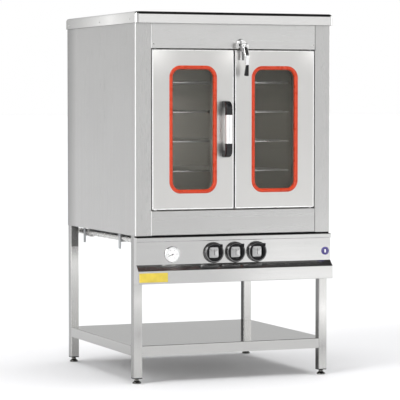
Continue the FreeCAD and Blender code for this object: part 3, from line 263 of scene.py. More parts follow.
def seated(thing, material, body, stands_for=()):
    """Links a piece, gives it its finish and seats it on its body."""
    bpy.context.scene.collection.objects.link(thing)
    thing.data.materials.clear()
    thing.data.materials.append(material)
    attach(thing, body)
    if stands_for:
        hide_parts(*stands_for)


# Finishes


class Graph:
    """A node tree under construction."""

    def __init__(self, tree):
        self.tree = tree

    def node(self, kind, inputs=None, **settings):
        """A new shader node with its settings and inputs."""
        made = self.tree.nodes.new(f"ShaderNode{kind}")
        for key, value in settings.items():
            setattr(made, key, value)
        self.feed(made, inputs or {})
        return made

    def feed(self, node, inputs):
        """Links each of a node's inputs to a socket, or sets it to a value."""
        for key, source in inputs.items():
            if isinstance(source, bpy.types.NodeSocket):
                self.tree.links.new(source, node.inputs[key])
            else:
                node.inputs[key].default_value = source

    def ranged(self, value, low, high, start=0.25, end=0.75, easing="LINEAR"):
        """A value moved from start..end to low..high."""
        inputs = {"Value": value, "From Min": start, "From Max": end, "To Min": low, "To Max": high}
        return self.node("MapRange", inputs, interpolation_type=easing).outputs["Result"]

    def joined(self, operation, *values):
        """The result of one arithmetic step."""
        return self.node("Math", dict(enumerate(values)), operation=operation).outputs["Value"]


class Finish(Graph):
    """A material under construction."""

    def __init__(self, name):
        self.material = bpy.data.materials.new(name)
        self.material.use_nodes = True
        super().__init__(self.material.node_tree)
        self.place = self.node("TexCoord").outputs["Object"]
        self.axes = self.node("SeparateXYZ", {"Vector": self.place}).outputs

    def noise(self, scale, detail=3.0, roughness=0.55, stretch=(1.0, 1.0, 1.0)):
        """Noise in the object's own coordinates, stretched along the axes."""
        drawn = self.node("Mapping", {"Vector": self.place, "Scale": stretch}).outputs["Vector"]
        inputs = {"Vector": drawn, "Scale": scale, "Detail": detail, "Roughness": roughness}
        return self.node("TexNoise", inputs).outputs["Fac"]

    def blended(self, factor, first, second):
        """A colour that goes from the first to the second."""
        inputs = {"Factor": factor, "A": first, "B": second}
        return self.node("Mix", inputs, data_type="RGBA").outputs["Result"]

    def mottled(self, value, colour, dark, light):
        """A colour that goes from a darker to a lighter shade of itself."""
        return self.blended(self.ranged(value, 0.0, 1.0), shade(colour, dark), shade(colour, light))

    def relief(self, height, strength, depth):
        """The normal of a bumpy skin."""
        inputs = {"Height": height, "Strength": strength, "Distance": depth}
        return self.node("Bump", inputs).outputs["Normal"]

    def done(self, **inputs):
        """The material, once its shader's inputs are linked or set."""
        shader = self.tree.nodes["Principled BSDF"]
        self.feed(shader, {key.replace("_", " "): source for key, source in inputs.items()})
        return self.material


def shade(colour, factor):
    """A colour made darker or lighter."""
    return (*(min(1.0, channel * factor) for channel in colour[:3]), 1.0)


def brushed_steel(name, colour, grain, low=0.24, high=0.36, contrast=0.07, wave=0.0, grazing=1.0, painted_light_spots=(),
                  painted_dark_bands=(), painted_dark_fade=None, dull_above=None):
    """Sheet steel: fine grain along the rolling direction, cloudy patches in colour and gloss and where asked
    slow waves. Each painted light spot is a place, its reach and how much lighter (painted highlight) or
    darker (painted shade) the steel is there. Each painted dark band is such a factor for what lies within
    half a width of a middle along some axes: painted shade and painted dark reflections. A painted dark fade
    goes to its factor between two places along an axis, and above a height the sheet is dull."""
    look = Finish(name)
    drawn = look.noise(14.0, 5.0, 0.65, grain)
    cloud = look.noise(2.3, 2.0)
    smear = look.noise(0.9, 2.0, stretch=grain)
    mixed = look.joined("ADD", look.ranged(drawn, 0.0, 0.55), look.ranged(cloud, 0.0, 0.45))
    skin = look.blended(mixed, shade(colour, 1 - contrast), shade(colour, 1 + contrast))
    # Painted highlights and painted shade round the given places
    for spot, reach, factor in painted_light_spots:
        away = look.node("VectorMath", {0: look.place, 1: spot}, operation="DISTANCE")
        near = look.ranged(away.outputs["Value"], 0.0, 1.0, reach, 0.0)
        skin = look.blended(look.joined("MULTIPLY", near, near), skin, shade(colour, factor))
    # Painted shade and painted dark reflections within the given bands
    for limits, factor in painted_dark_bands:
        within = 1.0
        for axis, middle, half in limits:
            near = look.joined("COMPARE", look.axes[axis], middle, half)
            within = look.joined("MULTIPLY", within, near)
        skin = look.blended(within, skin, shade(colour, factor))
    # Painted dark reflection that deepens along an axis
    if painted_dark_fade is not None:
        axis, start, end, factor = painted_dark_fade
        gone = look.ranged(look.axes[axis], 0.0, 1.0, start, end)
        skin = look.blended(gone, skin, shade(colour, factor))
    gloss = look.joined("ADD", look.ranged(drawn, low, high), look.ranged(smear, -0.03, 0.03))
    if dull_above is not None:
        scoured = look.ranged(look.axes["Z"], 0.0, 0.42, dull_above - 0.3 * MM, dull_above - 0.1 * MM)
        gloss = look.joined("ADD", gloss, scoured)
    height = look.ranged(drawn, 0.0, 1.0)
    if wave:
        swell = look.noise(3.1, 0.0)
        height = look.joined("ADD", height, look.ranged(swell, 0.0, wave, 0.0, 1.0))
    return look.done(Base_Color=skin, Roughness=gloss, Normal=look.relief(height, 0.35, 0.04 * MM),
                     Metallic=1.0, Specular_Tint=(grazing, grazing, grazing, 1.0))


def sooted_steel(name, colour, low, high):
    """Dull sheet that darkens in uneven swathes towards the roof, the hearth and the right."""
    look = Finish(name)
    height = look.ranged(look.axes["Z"], 0.0, 1.0, low, high)
    swathe = look.noise(2.4, stretch=(1.0, 1.0, 5.0))
    height = look.joined("ADD", height, look.ranged(swathe, -0.08, 0.08))
    ramp = look.node("ValToRGB", {"Fac": height})
    while len(ramp.color_ramp.elements) < len(CAVITY_TONES):
        ramp.color_ramp.elements.new(0.5)
    for stop, (position, tone) in zip(ramp.color_ramp.elements, CAVITY_TONES):
        stop.position = position
        stop.color = shade(colour, tone)
    dim = look.ranged(look.axes["X"], 0.0, 0.55, -0.1, 0.3)
    grain = look.noise(14.0, 4.0, stretch=ALONG_Y)
    return look.done(Base_Color=look.blended(dim, ramp.outputs["Color"], shade(colour, 0.35)),
                     Roughness=look.ranged(grain, 0.38, 0.52), Metallic=1.0,
                     Normal=look.relief(grain, 0.3, 0.04 * MM))


def cast_metal(name, colour, low, high):
    """Bare metal with a fine even skin and a little tarnish in patches."""
    look = Finish(name)
    tarnish = look.noise(10.8)
    return look.done(Base_Color=look.mottled(tarnish, colour, 0.9, 1.06), Metallic=1.0,
                     Roughness=look.ranged(tarnish, low, high),
                     Normal=look.relief(look.noise(900.0, 4.0), 0.25, 0.06 * MM))


def moulded(name, colour, low, high, **inputs):
    """Moulded plastic or rubber: a fine pebbled skin and faint handling marks."""
    look = Finish(name)
    marks = look.noise(38.0, 4.0)
    return look.done(Base_Color=look.mottled(marks, colour, 0.88, 1.1),
                     Roughness=look.ranged(marks, low, high),
                     Normal=look.relief(look.noise(1400.0, 2.0), 0.3, 0.05 * MM), **inputs)


def wool_like(name, colour, scale):
    """Matted fibre: tufts with a deep soft relief."""
    look = Finish(name)
    tuft = look.noise(scale, 6.0, 0.7)
    return look.done(Base_Color=look.mottled(tuft, colour, 0.7, 1.2), Roughness=0.95,
                     Normal=look.relief(tuft, 0.8, 2 * MM))


def clear_glass(name, colour, alpha, index, tint=(1.0, 1.0, 1.0)):
    """Float glass as a thin dark veil, with dust that dulls it in places and a tinted gloss."""
    look = Finish(name)
    dust = look.noise(9.0)
    return look.done(Base_Color=look.mottled(dust, colour, 0.85, 1.15), Alpha=alpha, IOR=index,
                     Roughness=look.ranged(dust, 0.03, 0.09), Specular_Tint=(*tint, 1.0))


# Values for the sidebar


def colour(name, description, default):
    return bpy.props.FloatVectorProperty(name=name, description=description, default=default, subtype="COLOR",
                                         min=0.0, max=1.0)


def length(name, description, millimetres):
    return bpy.props.FloatProperty(name=name, description=description, default=millimetres * MM, min=0.0,
                                   unit="LENGTH")


def lengths(name, description, *millimetres):
    default = [measure * MM for measure in millimetres]
    return bpy.props.FloatVectorProperty(name=name, description=description, default=default, unit="LENGTH",
                                         size=len(default))


def number(name, description, default):
    return bpy.props.FloatProperty(name=name, description=description, default=default, min=0.0)


def place(name, description, default):
    return bpy.props.FloatVectorProperty(name=name, description=description, default=default,
                                         subtype="TRANSLATION", unit="LENGTH")


class OvenColours(bpy.types.PropertyGroup):
    """Colours of the oven's finishes"""

    cabinet: colour("Cabinet steel", "Satin sheet of the cabinet", (0.52, 0.518, 0.51))
    doors: colour("Door steel", "Bright sheet of the two doors", (0.595, 0.589, 0.574))
    stand: colour("Stand steel", "Square tube and shelf of the stand", (0.53, 0.527, 0.515))
    inside: colour("Inner steel", "Sheet of the cavity and the door liners", (0.95, 0.92, 0.83))
    zinc: colour("Zinc", "Galvanised sheet under the cabinet", (0.46, 0.47, 0.48))
    chrome: colour("Chrome", "Bright plating of latch, racks and bezel", (0.82, 0.82, 0.82))
    grip: colour("Grip", "Satin aluminium of the handle", (0.97, 0.97, 0.97))
    brass: colour("Brass", "Taps and nozzles", (0.62, 0.44, 0.18))
    plastic: colour("Black plastic", "Knobs, elbows, latch grip and foot plugs", (0.009, 0.009, 0.01))
    rubber: colour("Red rubber", "Window seals", (0.52, 0.044, 0.012))
    # Painted highlights on the folds and seams of cabinet and doors
    edges: colour("Edges", "Painted highlights on the cabinet's folds", (0.95, 0.95, 0.94))
    feet: colour("Feet", "Dark metal of the levelling feet", (0.16, 0.158, 0.15))
    glass: colour("Glass", "Veil of the door panes", (0.05, 0.052, 0.045))
    violet: colour("Violet", "Igniter button", (0.052, 0.04, 0.164))
    plate: colour("Plate", "Bare plate on the apron", (0.65, 0.5, 0.055))
    dial: colour("Dial", "Enamel of the thermometer's face", (0.93, 0.93, 0.92))


class OvenSizes(bpy.types.PropertyGroup):
    """Sizes of the fittings that the scene makes"""

    leg_tube: length("Leg tube", "Side of the stand's square legs", 40)
    seal: lengths("Seal", "Width and outer corner radius of a window seal", 18, 54)
    knob_ring: lengths("Knob ring", "Radius at the panel, radius of the rim and height", 46.5, 37.5, 19)
    knob_face: lengths("Knob face", "Width of the face, its sink and the pointer's reach", 54, 12, 37)
    # Painted highlight on the igniter button
    igniter_mark: length("Igniter mark", "Width of the igniter's painted highlight", 7)
    dial: lengths("Dial", "Radius of the face and height of its numbers", 31.4, 5)
    edge_bend: length("Edge bend", "Outer bend of the cabinet's front corners", 3)
    # The door edges and their border carry a painted highlight
    door_edge: lengths("Door edge", "Radius of a door's front edges and the border of their painted highlight", 4, 1.5)
    lid: lengths("Lid", "Radii of the cover's front top edge and upright corners", 14, 18)
    # Black strip of painted shade in the slot under the sill
    baffle: lengths("Baffle", "Setback of the slot's black strip and its overlap", 6, 6)
    # Black strip of painted shade in the gap between the doors
    lip_depth: length("Lip depth", "Depth of the black strip of painted shade between the doors", 8)
    # How far the painted edge highlights stand proud
    edge_skin: length("Edge skin", "How far a painted edge highlight stands proud", 0.15)
    elbow: lengths("Elbow", "Thickness and bend of the handle's elbows", 30, 26)
    handle_shift: lengths("Handle shift", "Handle's shift from the gap and to the door", 2.5, 8)
    lever: lengths("Lever", "Width and thickness of the latch lever's arm", 20, 17)
    tongue: lengths("Tongue", "Width, thickness and reach of the latch's tongue", 10, 3, 28)
    rosette_radius: length("Rosette radius", "Radius of the rosette behind the latch", 22)
    plate: lengths("Plate", "Width and height of the bare plate on the apron", 134, 41)


class OvenStage(bpy.types.PropertyGroup):
    """Camera, floor and light"""

    floor_size: length("Floor size", "Side of the floor", 400_000)
    floor_colour: colour("Floor", "Paint of the floor", (0.75, 0.75, 0.76))
    top_light: number("Top light", "Strength of the wide lamp overhead", 2.55)
    front_light: number("Front light", "Strength of the fill from the front", 0.5)
    side_light: number("Side light", "Power of the soft box on the right", 1.6)
    ceiling_light: number("Ceiling", "Brightness of the dark ceiling", 0.06)
    wall_light: number("Walls", "Brightness of the white walls", 0.87)
    lens: number("Lens", "Focal length in millimetres", 191.3)
    viewpoint: place("Viewpoint", "Where the camera stands", (-3.682, -9.1668, 1.2333))
    aim: place("Aim", "What the camera looks at", (0.02365, 0.0304, 0.7865))
    box_place: place("Soft box", "Where the soft box stands", (1.8, -2.6, 0.26))
    box_aim: place("Soft box aim", "What the soft box shines at", (0.4, -0.4, 0.3))


def colours():
    return bpy.context.scene.oven_colours


def sizes():
    return bpy.context.scene.oven_sizes


def finish_named(name, make, *values, **inputs):
    """A finish by its name, made the first time it is asked for."""
    return bpy.data.materials.get(name) or make(name, *values, **inputs)


def black_plastic():
    return finish_named("black plastic", moulded, colours().plastic, 0.2, 0.34, Specular_IOR_Level=0.1)


# Black strip standing in for the shade in gaps and slots: painted shade
def black_rubber():
    return finish_named("black rubber", moulded, colours().plastic, 0.6, 0.75, Specular_IOR_Level=0.1)


def bright_chrome():
    return finish_named("bright chrome", cast_metal, colours().chrome, 0.06, 0.14)


def dress(material, nodes):
    """Puts a finish on carried-over parts, named in one line."""
    for node in nodes.split():
        mesh = frame["nodes"][node].data
        mesh.materials.clear()
        mesh.materials.append(material)


def cabinet_steel(colour):
    """Sheets of the cabinet as lighter and darker copies of one steel: sides with a painted dark reflection
    towards the back, and a cover with a painted highlight and painted shade along its left rim.
    """
    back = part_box("side_panel_left")[1].y
    # Side panels: a darker copy of the cabinet steel with a painted dark reflection that deepens towards
    # their back edge
    dress(brushed_steel("side steel", shade(colour, 0.9), ALONG_Z, 0.26, 0.36,
                        painted_dark_fade=("Y", back - 130 * MM, back, 0.55)), "side_panel_left side_panel_right")
    # Lit and shaded copies of the one cabinet steel: each sheet's factor sets the brightness that the light
    # gives it
    for name, tone, grain, gloss, nodes in (
            ("back steel", 0.9, ALONG_Z, (0.26, 0.36), "back_panel"),
            ("front steel, upright", 0.95, ALONG_Z, (), "stile_left stile_right"),
            ("header steel", 1.1, ALONG_X, (), "header_rail latch_keeper"),
            ("sill steel", 0.94, ALONG_X, (), "sill_rail"),
            ("panel steel", 0.98, ALONG_X, (0.14, 0.24), "control_panel")):
        dress(brushed_steel(name, shade(colour, tone), grain, *gloss), nodes)
    low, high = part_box("top_cover")
    middle = (low.z + high.z) / 2
    # The cover is a lighter copy of the cabinet steel, with a painted highlight on its left rim and painted
    # shade at its back left corner
    painted_light_spots = [((low.x, low.y + 330 * MM, middle), 520 * MM, 1.5), ((low.x, high.y, middle), 550 * MM, 0.6)]
    dress(brushed_steel("cover steel", shade(colour, 1.28), ALONG_X, 0.16, 0.26, painted_light_spots=painted_light_spots,
                        dull_above=high.z), "top_cover")


def door_steel(tone):
    """Door sheets with painted highlights at their upper corners, panes, liners with painted shade, and the
    cavity's steel that darkens towards the roof, the hearth and the right.
    """
    low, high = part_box("left_door_skin")
    # Painted highlights at the doors' upper corners
    painted_light_spots = [((low.x, low.y, high.z), 175 * MM, 1.68), ((high.x, low.y, high.z - 20 * MM), 140 * MM, 1.6),
             ((-low.x, low.y, high.z), 130 * MM, 1.6)]
    dress(brushed_steel("door steel", tone.doors, ALONG_Z, 0.28, 0.36, 0.04, 60.0, painted_light_spots=painted_light_spots),
          "left_door_skin right_door_skin")
    dress(clear_glass("door glass", tone.glass, 0.06, 2.95, (1.0, 0.98, 0.88)),
          "left_window_glass right_window_glass")
    low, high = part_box("cavity_liner")
    dress(sooted_steel("inner steel", tone.inside, low.z, high.z), "cavity_liner rack_guides hearth_plate")
    # The door liners are a darker copy of the inner steel: painted shade on the reveals
    dress(sooted_steel("shaded liner steel", shade(tone.inside, 0.55), low.z, high.z),
          "left_door_liner right_door_liner")


def stand_steel(colour):
    """Legs, rails and shelf: painted shade on the stand's left faces, the right legs' inner faces and the
    shelf's left and front folds, and painted highlights and painted shade along the legs.
    """
    low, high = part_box("stand_frame")
    tube, skin = sizes().leg_tube, 0.4 * MM
    left, right = low.x + tube / 2, high.x - tube / 2
    inner = ("X", high.x - tube, skin)
    back_face = high.y - tube
    # Painted shade on the stand's left faces and the right legs' inner faces, darkest on the back right leg,
    # and a band of painted dark reflection high on the back left leg's front face
    painted_dark_bands = [([("X", low.x, skin)], 0.6), ([inner], 0.3), ([inner, ("Y", high.y, tube)], 0.03),
             ([("X", left, tube / 2), ("Y", back_face, skin), ("Z", 610 * MM, 55 * MM)], 0.5)]
    legs = {"back_left": (left, back_face), "back_right": (right, back_face), "front_left": (left, low.y),
            "front_right": (right, low.y)}
    # Painted highlights and painted shade along the legs
    painted_light_spots = [((*legs[leg], height * MM), reach * MM, factor) for leg, height, reach, factor in LEG_PAINTED_LIGHT]
    dress(brushed_steel("stand steel", colour, ALONG_Z, 0.18, 0.3, painted_light_spots=painted_light_spots, painted_dark_bands=painted_dark_bands), "stand_frame")
    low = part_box("undershelf")[0]
    # Painted shade on the shelf's left and front folds
    folds = [([("X", low.x, skin)], 0.66), ([("Y", low.y, skin)], 0.8)]
    dress(brushed_steel("shelf steel", shade(colour, 1.17), ALONG_X, 0.04, 0.09, 0.05, 2.0, 0.95,
                        painted_dark_bands=folds), "undershelf")


class OVEN_OT_sheet_steel(bpy.types.Operator):
    """Finishes of the cabinet, doors, stand and cavity"""

    bl_idname = "oven.sheet_steel"
    bl_label = "Sheet steel"

    def execute(self, context):
        tone = colours()
        cabinet_steel(tone.cabinet)
        door_steel(tone)
        stand_steel(tone.stand)
        simple = (
            (cast_metal, "zinc sheet", tone.zinc, (0.38, 0.55),
             "base_pan pipe_hangers flue_duct left_hinge_bushes right_hinge_bushes"),
            (cast_metal, "pipe steel", shade(tone.stand, 1.05), (0.2, 0.34),
             "gas_pipe injector_pipes hinge_pins screws"),
            (cast_metal, "burner steel", shade(tone.inside, 0.7), (0.4, 0.6), "burners"),
            (cast_metal, "brass", tone.brass, (0.2, 0.4), "gas_taps"),
            (cast_metal, "rack chrome", shade(tone.chrome, 1.2), (0.26, 0.38),
             "wire_rack_1 wire_rack_2 wire_rack_3 wire_rack_4"),
            (wool_like, "mineral wool", (0.42, 0.37, 0.22), (240.0,),
             "insulation left_door_insulation right_door_insulation"),
            (wool_like, "rope seal", (0.26, 0.25, 0.23), (900.0,), "door_seal"),
            (clear_glass, "lens glass", (0.9, 0.9, 0.9), (0.04, 1.5), "thermometer_lens"),
            (moulded, "needle paint", (0.01, 0.01, 0.01), (0.3, 0.45), "thermometer_needle"),
            (moulded, "button ring", shade(tone.violet, 1.5), (0.2, 0.35), "igniter_body"))
        for make, name, colour, values, nodes in simple:
            dress(make(name, colour, *values), nodes)
        dress(bright_chrome(), "thermometer_case")
        dress(black_plastic(), "foot_plugs")
        return {"FINISHED"}


def corner_edges(side, outward, bright, tone, half):
    """Painted highlight on the cabinet's folded front edge on one side, and strips at the seams between its
    stile and the rails in the given tone: painted highlight on the left, painted shadow on the right.
    """
    skin, bend = sizes().edge_skin, sizes().edge_bend
    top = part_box("top_cover")[0].z
    low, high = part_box(f"stile_{side}")
    outer, inner = (low.x, high.x) if side == "left" else (high.x, low.x)
    foot = np.array((outer, low.y + bend, low.z)) - bend * outward
    edge = folded_edge(foot, (foot[0], foot[1], top), outward, bend)
    piece(f"{side}_corner_edge", [edge], bright, "cabinet")
    seams = []
    for rail in ("header_rail", "sill_rail"):
        foot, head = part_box(rail)
        seams.append(eased_slab((inner - half, foot.z), (inner + half, min(head.z, top)), 0.4 * MM,
                                low.y + skin, 4 * skin, 2 * skin))
    piece(f"{side}_frame_seams", seams, tone, "cabinet")


def door_edges(side, bright):
    """Painted highlights on the four rounded front edges of a door, and a black strip of painted shade in the
    gap between the doors.
    """
    bend, border = sizes().door_edge
    low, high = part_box(f"{side}_door_skin")
    left, right, depth = low.x + bend, high.x - bend, low.y + bend
    bottom, top = low.z + bend, high.z - bend
    a, b = (left, depth, bottom), (right, depth, bottom)
    c, d = (right, depth, top), (left, depth, top)
    runs = {"bottom": (a, b, -UP), "right": (b, c, ACROSS), "top": (c, d, UP), "left": (d, a, -ACROSS)}
    gap_side = "right" if side == "left" else "left"
    edges = [folded_edge(*run, bend, (0.0, HIGHLIGHT_END if edge == gap_side else 90.0), border)
             for edge, run in runs.items()]
    piece(f"{side}_door_edges", edges, bright, f"{side}_door")
    # Black strip of painted shade that deepens the gap between the doors
    lip = folded_edge(*runs[gap_side], bend, (GAP_SHADE_START, 90.0), tail=sizes().lip_depth)
    piece(f"{side}_door_gap_shade", [lip], black_rubber(), f"{side}_door")


def slot_baffle():
    """A black strip of painted shade behind the slot above the control panel."""
    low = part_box("sill_rail")[0]
    panel_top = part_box("control_panel")[1].z
    left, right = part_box("stile_left")[0].x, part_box("stile_right")[1].x
    setback, overlap = sizes().baffle
    middle = ((left + right) / 2, low.y + setback, (low.z + panel_top) / 2)
    strip = blocks([middle], ACROSS, FRONT, UP,
                   (right - left - 4 * MM, MM, abs(low.z - panel_top) + overlap))
    piece("slot_baffle", [], black_rubber(), "cabinet", boxes=strip)


def lid_trim():
    """A painted dark reflection along the cover's front top edge, where its bend mirrors the dark ceiling."""
    low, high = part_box("top_cover")
    bend, corner = sizes().lid
    depth, height = low.y + bend, high.z - bend
    trim = folded_edge((low.x + corner, depth, height), (high.x - corner, depth, height), UP, bend,
                       turn=(8.0, 86.0))
    # Dark metal standing in for the bend's reflection of the dark ceiling: painted dark reflection
    dark = cast_metal("painted dark reflection", (0.06, 0.06, 0.06), 0.3, 0.4)
    piece("lid_trim", [trim], dark, "cabinet")


class OVEN_OT_edges(bpy.types.Operator):
    """Painted highlights on the folds and seams of cabinet and doors, painted shadow on the right seams, a
    black strip of painted shade in the slot under the sill and the cover's painted dark reflection
    """

    bl_idname = "oven.edges"
    bl_label = "Bright edges"

    def execute(self, context):
        # A bright copy of the steel for painted highlights on the folds and seams
        bright = brushed_steel("painted edge highlight", colours().edges, ALONG_Z, 0.24, 0.34, 0.03)
        shadow = cast_metal("seam shadow", (0.1, 0.1, 0.1), 0.4, 0.5)
        # Left: painted highlights on the corner and the seams; right: painted highlight on the corner and
        # painted shadow on the seams
        corner_edges("left", -ACROSS, bright, bright, 1.4 * MM)
        door_edges("left", bright)
        corner_edges("right", ACROSS, bright, shadow, 0.8 * MM)
        door_edges("right", bright)
        slot_baffle()
        lid_trim()
        return {"FINISHED"}


class OVEN_OT_feet(bpy.types.Operator):
    """Four levelling feet: a bell on a thin neck"""

    bl_idname = "oven.feet"
    bl_label = "Feet"

    def execute(self, context):
        metal = cast_metal("foot metal", colours().feet, 0.16, 0.3)
        bell = softened(FOOT_BELL, FOOT_ROUND)
        for place in ("front_left", "front_right", "back_left", "back_right"):
            low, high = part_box(f"foot_{place}")
            centre = np.array(((low.x + high.x) / 2, (low.y + high.y) / 2, low.z))
            start, end = 20 * MM, high.z - low.z
            stem = turned(disc(5 * MM, end - start), centre + start * UP, UP, 24)
            grids = [turned(bell, centre, UP, 48), stem]
            piece(f"{place}_foot", grids, metal, f"levelling_{place}", [f"foot_{place}"])
        return {"FINISHED"}


class OVEN_OT_window_seals(bpy.types.Operator):
    """Red rubber seals round both windows"""

    bl_idname = "oven.window_seals"
    bl_label = "Window seals"

    def execute(self, context):
        rubber = moulded("red rubber", colours().rubber, 0.24, 0.34, Specular_IOR_Level=0.35)
        width, corner = sizes().seal
        half = width / 2
        rise = np.linspace(-1.0, 1.0, 25)
        for side in ("left", "right"):
            low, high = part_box(f"{side}_window_gasket")
            dome = (high.y - low.y) * (0.4 + 0.6 * np.sqrt(1 - rise ** 2))
            outline = np.concatenate([np.stack([rise * half, dome], axis=1), [(half, 0.0), (-half, 0.0)]])
            points, outward = round_window((low.x, low.z), (high.x, high.z), corner)
            path = np.insert(points, 1, high.y, axis=1)
            ring = carried(outline - (half, 0.0), path, np.insert(outward, 1, 0.0, axis=1), FRONT)
            piece(f"{side}_window_seal", [ring], rubber, f"{side}_door",
                  [f"{side}_window_gasket"], close_rows=True)
        return {"FINISHED"}


class OVEN_OT_knobs(bpy.types.Operator):
    """Three burner knobs: flared black ring with a square corner as pointer, and a sunk silver face"""

    bl_idname = "oven.knobs"
    bl_label = "Burner knobs"

    def execute(self, context):
        silver = cast_metal("knob silver", (0.42, 0.42, 0.42), 0.12, 0.2)
        gloss = moulded("knob gloss", colours().plastic, 0.1, 0.18, IOR=2.2)
        grey = cast_metal("knob mark", (0.16, 0.16, 0.16), 0.3, 0.4)
        base, rim, rise = np.array(sizes().knob_ring) / MM
        wide, sink, reach = np.array(sizes().knob_face) / MM
        half, sunk = wide / 2, rise - sink
        swell = np.radians(np.linspace(0.0, 84.0, 9))
        flare = np.stack([rim + 1 + (base - rim - 1) * np.cos(swell), np.full(9, 2.0),
                          3 + (rise - 5) * np.sin(swell)], axis=1)
        skirt = [(base - 0.5, 2, 0), (base, 2, 0.5), *flare, (rim - 2, 2, rise - 2), (rim - 2, 2, 0)]
        ring = [(0, 2, 1), (rim - 1, 2, 1), (rim + 1, 2, rise - 2.1), (rim + 0.3, 2, rise - 0.9),
                (rim - 0.6, 2, rise - 0.2), (rim - 1.6, 2, rise), (half + 1.4, 4, rise),
                (half + 0.4, 5, rise - 0.4), (half, 5, rise - 1.4), (half, 5, sunk + 0.6),
                (half - 0.6, 5, sunk), (0, 5, sunk)]
        face = [(0, 5, sunk - 0.5), (half - 0.3, 5, sunk - 0.5), (half - 0.3, 5, sunk + 0.4),
                (half - 1.2, 5, sunk + 1.1), (half * 0.85, 4.5, sunk + 1.7), (half * 0.65, 4, sunk + 2.6),
                (half * 0.45, 3, sunk + 3.2), (half * 0.2, 2.4, sunk + 3.6), (0, 2, sunk + 3.7)]
        for side in ("left", "middle", "right"):
            place = JOINT_PLACE[f"{side}_knob_turn"]
            foot = np.array((place[0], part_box(f"knob_{side}")[0].y + rise * MM, place[2]))
            centre, body = foot[[0, 2]], f"{side}_knob"
            pointer = eased_slab(centre + 23 * MM, centre + reach * MM, 1.2 * MM, foot[1] - 8 * MM,
                                 10 * MM, 0.8 * MM)
            mark = eased_slab(centre - np.array((1.4, 12)) * MM, centre + np.array((1.4, 15)) * MM, 1.2 * MM,
                              foot[1] - (sunk + 1.5) * MM, 2.6 * MM, 0.5 * MM)
            piece(f"{body}_skirt", [stacked(skirt, foot)], gloss, body, close_rows=True)
            piece(f"{body}_ring", [stacked(ring, foot), pointer], black_plastic(), body,
                  [f"knob_{side}"])
            piece(f"{body}_face", [stacked(face, foot)], silver, body)
            piece(f"{body}_mark", [mark], grey, body)
        return {"FINISHED"}


def dial_number(words, height, spot, ink):
    """A number on the dial, stood upright with its middle at the spot."""
    data = bpy.data.curves.new(f"dial_{words}", "FONT")
    data.body = words
    data.size = height
    data.align_x, data.align_y = "CENTER", "CENTER"
    data.resolution_u = 2
    letters = bpy.data.objects.new(f"letters_{words}", data)
    mesh = bpy.data.meshes.new_from_object(letters)
    mesh.transform(Matrix.Translation(spot) @ Matrix.Rotation(math.pi / 2, 4, "X"))
    bpy.data.objects.remove(letters)
    seated(bpy.data.objects.new(f"dial_number_{words}", mesh), ink, "cabinet")


class OVEN_OT_dial(bpy.types.Operator):
    """Thermometer face with its scale and plain numbers"""

    bl_idname = "oven.dial"
    bl_label = "Thermometer face"

    def execute(self, context):
        place = JOINT_PLACE["needle_turn"]
        enamel = moulded("dial enamel", colours().dial, 0.25, 0.4)
        ink = moulded("dial ink", (0.02, 0.02, 0.022), 0.4, 0.55)
        radius, height = sizes().dial
        centre = np.array((place[0], DIAL_PLANE, place[2]))
        face = turned(disc(radius, 0.25 * MM), centre - 0.05 * MM * FRONT)
        piece("thermometer_face", [face], enamel, "cabinet")
        angle = np.radians(np.linspace(*SCALE_TURN, SCALE_MARKS))[:, None]
        away = np.cos(angle) * ACROSS + np.sin(angle) * UP
        along = np.cos(angle) * UP - np.sin(angle) * ACROSS
        step = np.arange(SCALE_MARKS)
        long = np.where(step % 10 == 0, 4.6, np.where(step % 5 == 0, 3.2, 1.8)) * MM
        thick = np.where(step % 10 == 0, 0.7, 0.35) * MM
        printed = centre + 0.24 * MM * FRONT
        marks = printed + (radius * 0.94 - long / 2)[:, None] * away
        measures = np.stack([long, thick, np.full(SCALE_MARKS, 0.1 * MM)], axis=1)
        piece("thermometer_scale", [], ink, "cabinet",
              boxes=blocks(marks, away, along, FRONT, measures))
        for number in range(0, 600, 100):
            dial_number(str(number), height, printed + radius * 0.62 * away[number // 10], ink)
        return {"FINISHED"}


class OVEN_OT_igniter(bpy.types.Operator):
    """Violet igniter button with a painted highlight in white"""

    bl_idname = "oven.igniter"
    bl_label = "Igniter button"

    def execute(self, context):
        low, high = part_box("igniter_button")
        gloss = moulded("violet gloss", colours().violet, 0.08, 0.16, Coat_Weight=0.6, Coat_Roughness=0.05)
        centre = np.array(((low.x + high.x) / 2, high.y, (low.z + high.z) / 2))
        radius, height = (high.x - low.x) / 2, high.y - low.y
        angle = np.linspace(0.0, np.pi / 2, 14)
        dome = np.stack([radius * np.cos(angle) ** 0.6, height - 5 * MM * (1 - np.sin(angle))], axis=1)
        outline = np.concatenate([[(0.0, 0.0), (radius, 0.0)], dome])
        piece("igniter_cap", [turned(outline, centre)], gloss, "igniter", ["igniter_button"])
        # White patch left of the middle: a painted highlight on the button
        white = moulded("igniter mark", (0.8, 0.79, 0.86), 0.2, 0.3)
        half = sizes().igniter_mark / 2
        middle = centre[[0, 2]] - (0.25 * radius, 0.0)
        reach = np.array((half, 0.62 * radius))
        mark = eased_slab(middle - reach, middle + reach, 0.9 * half, low.y + MM, 1.2 * MM, 0.6 * MM)
        piece("igniter_painted_highlight", [mark], white, "igniter")
        return {"FINISHED"}


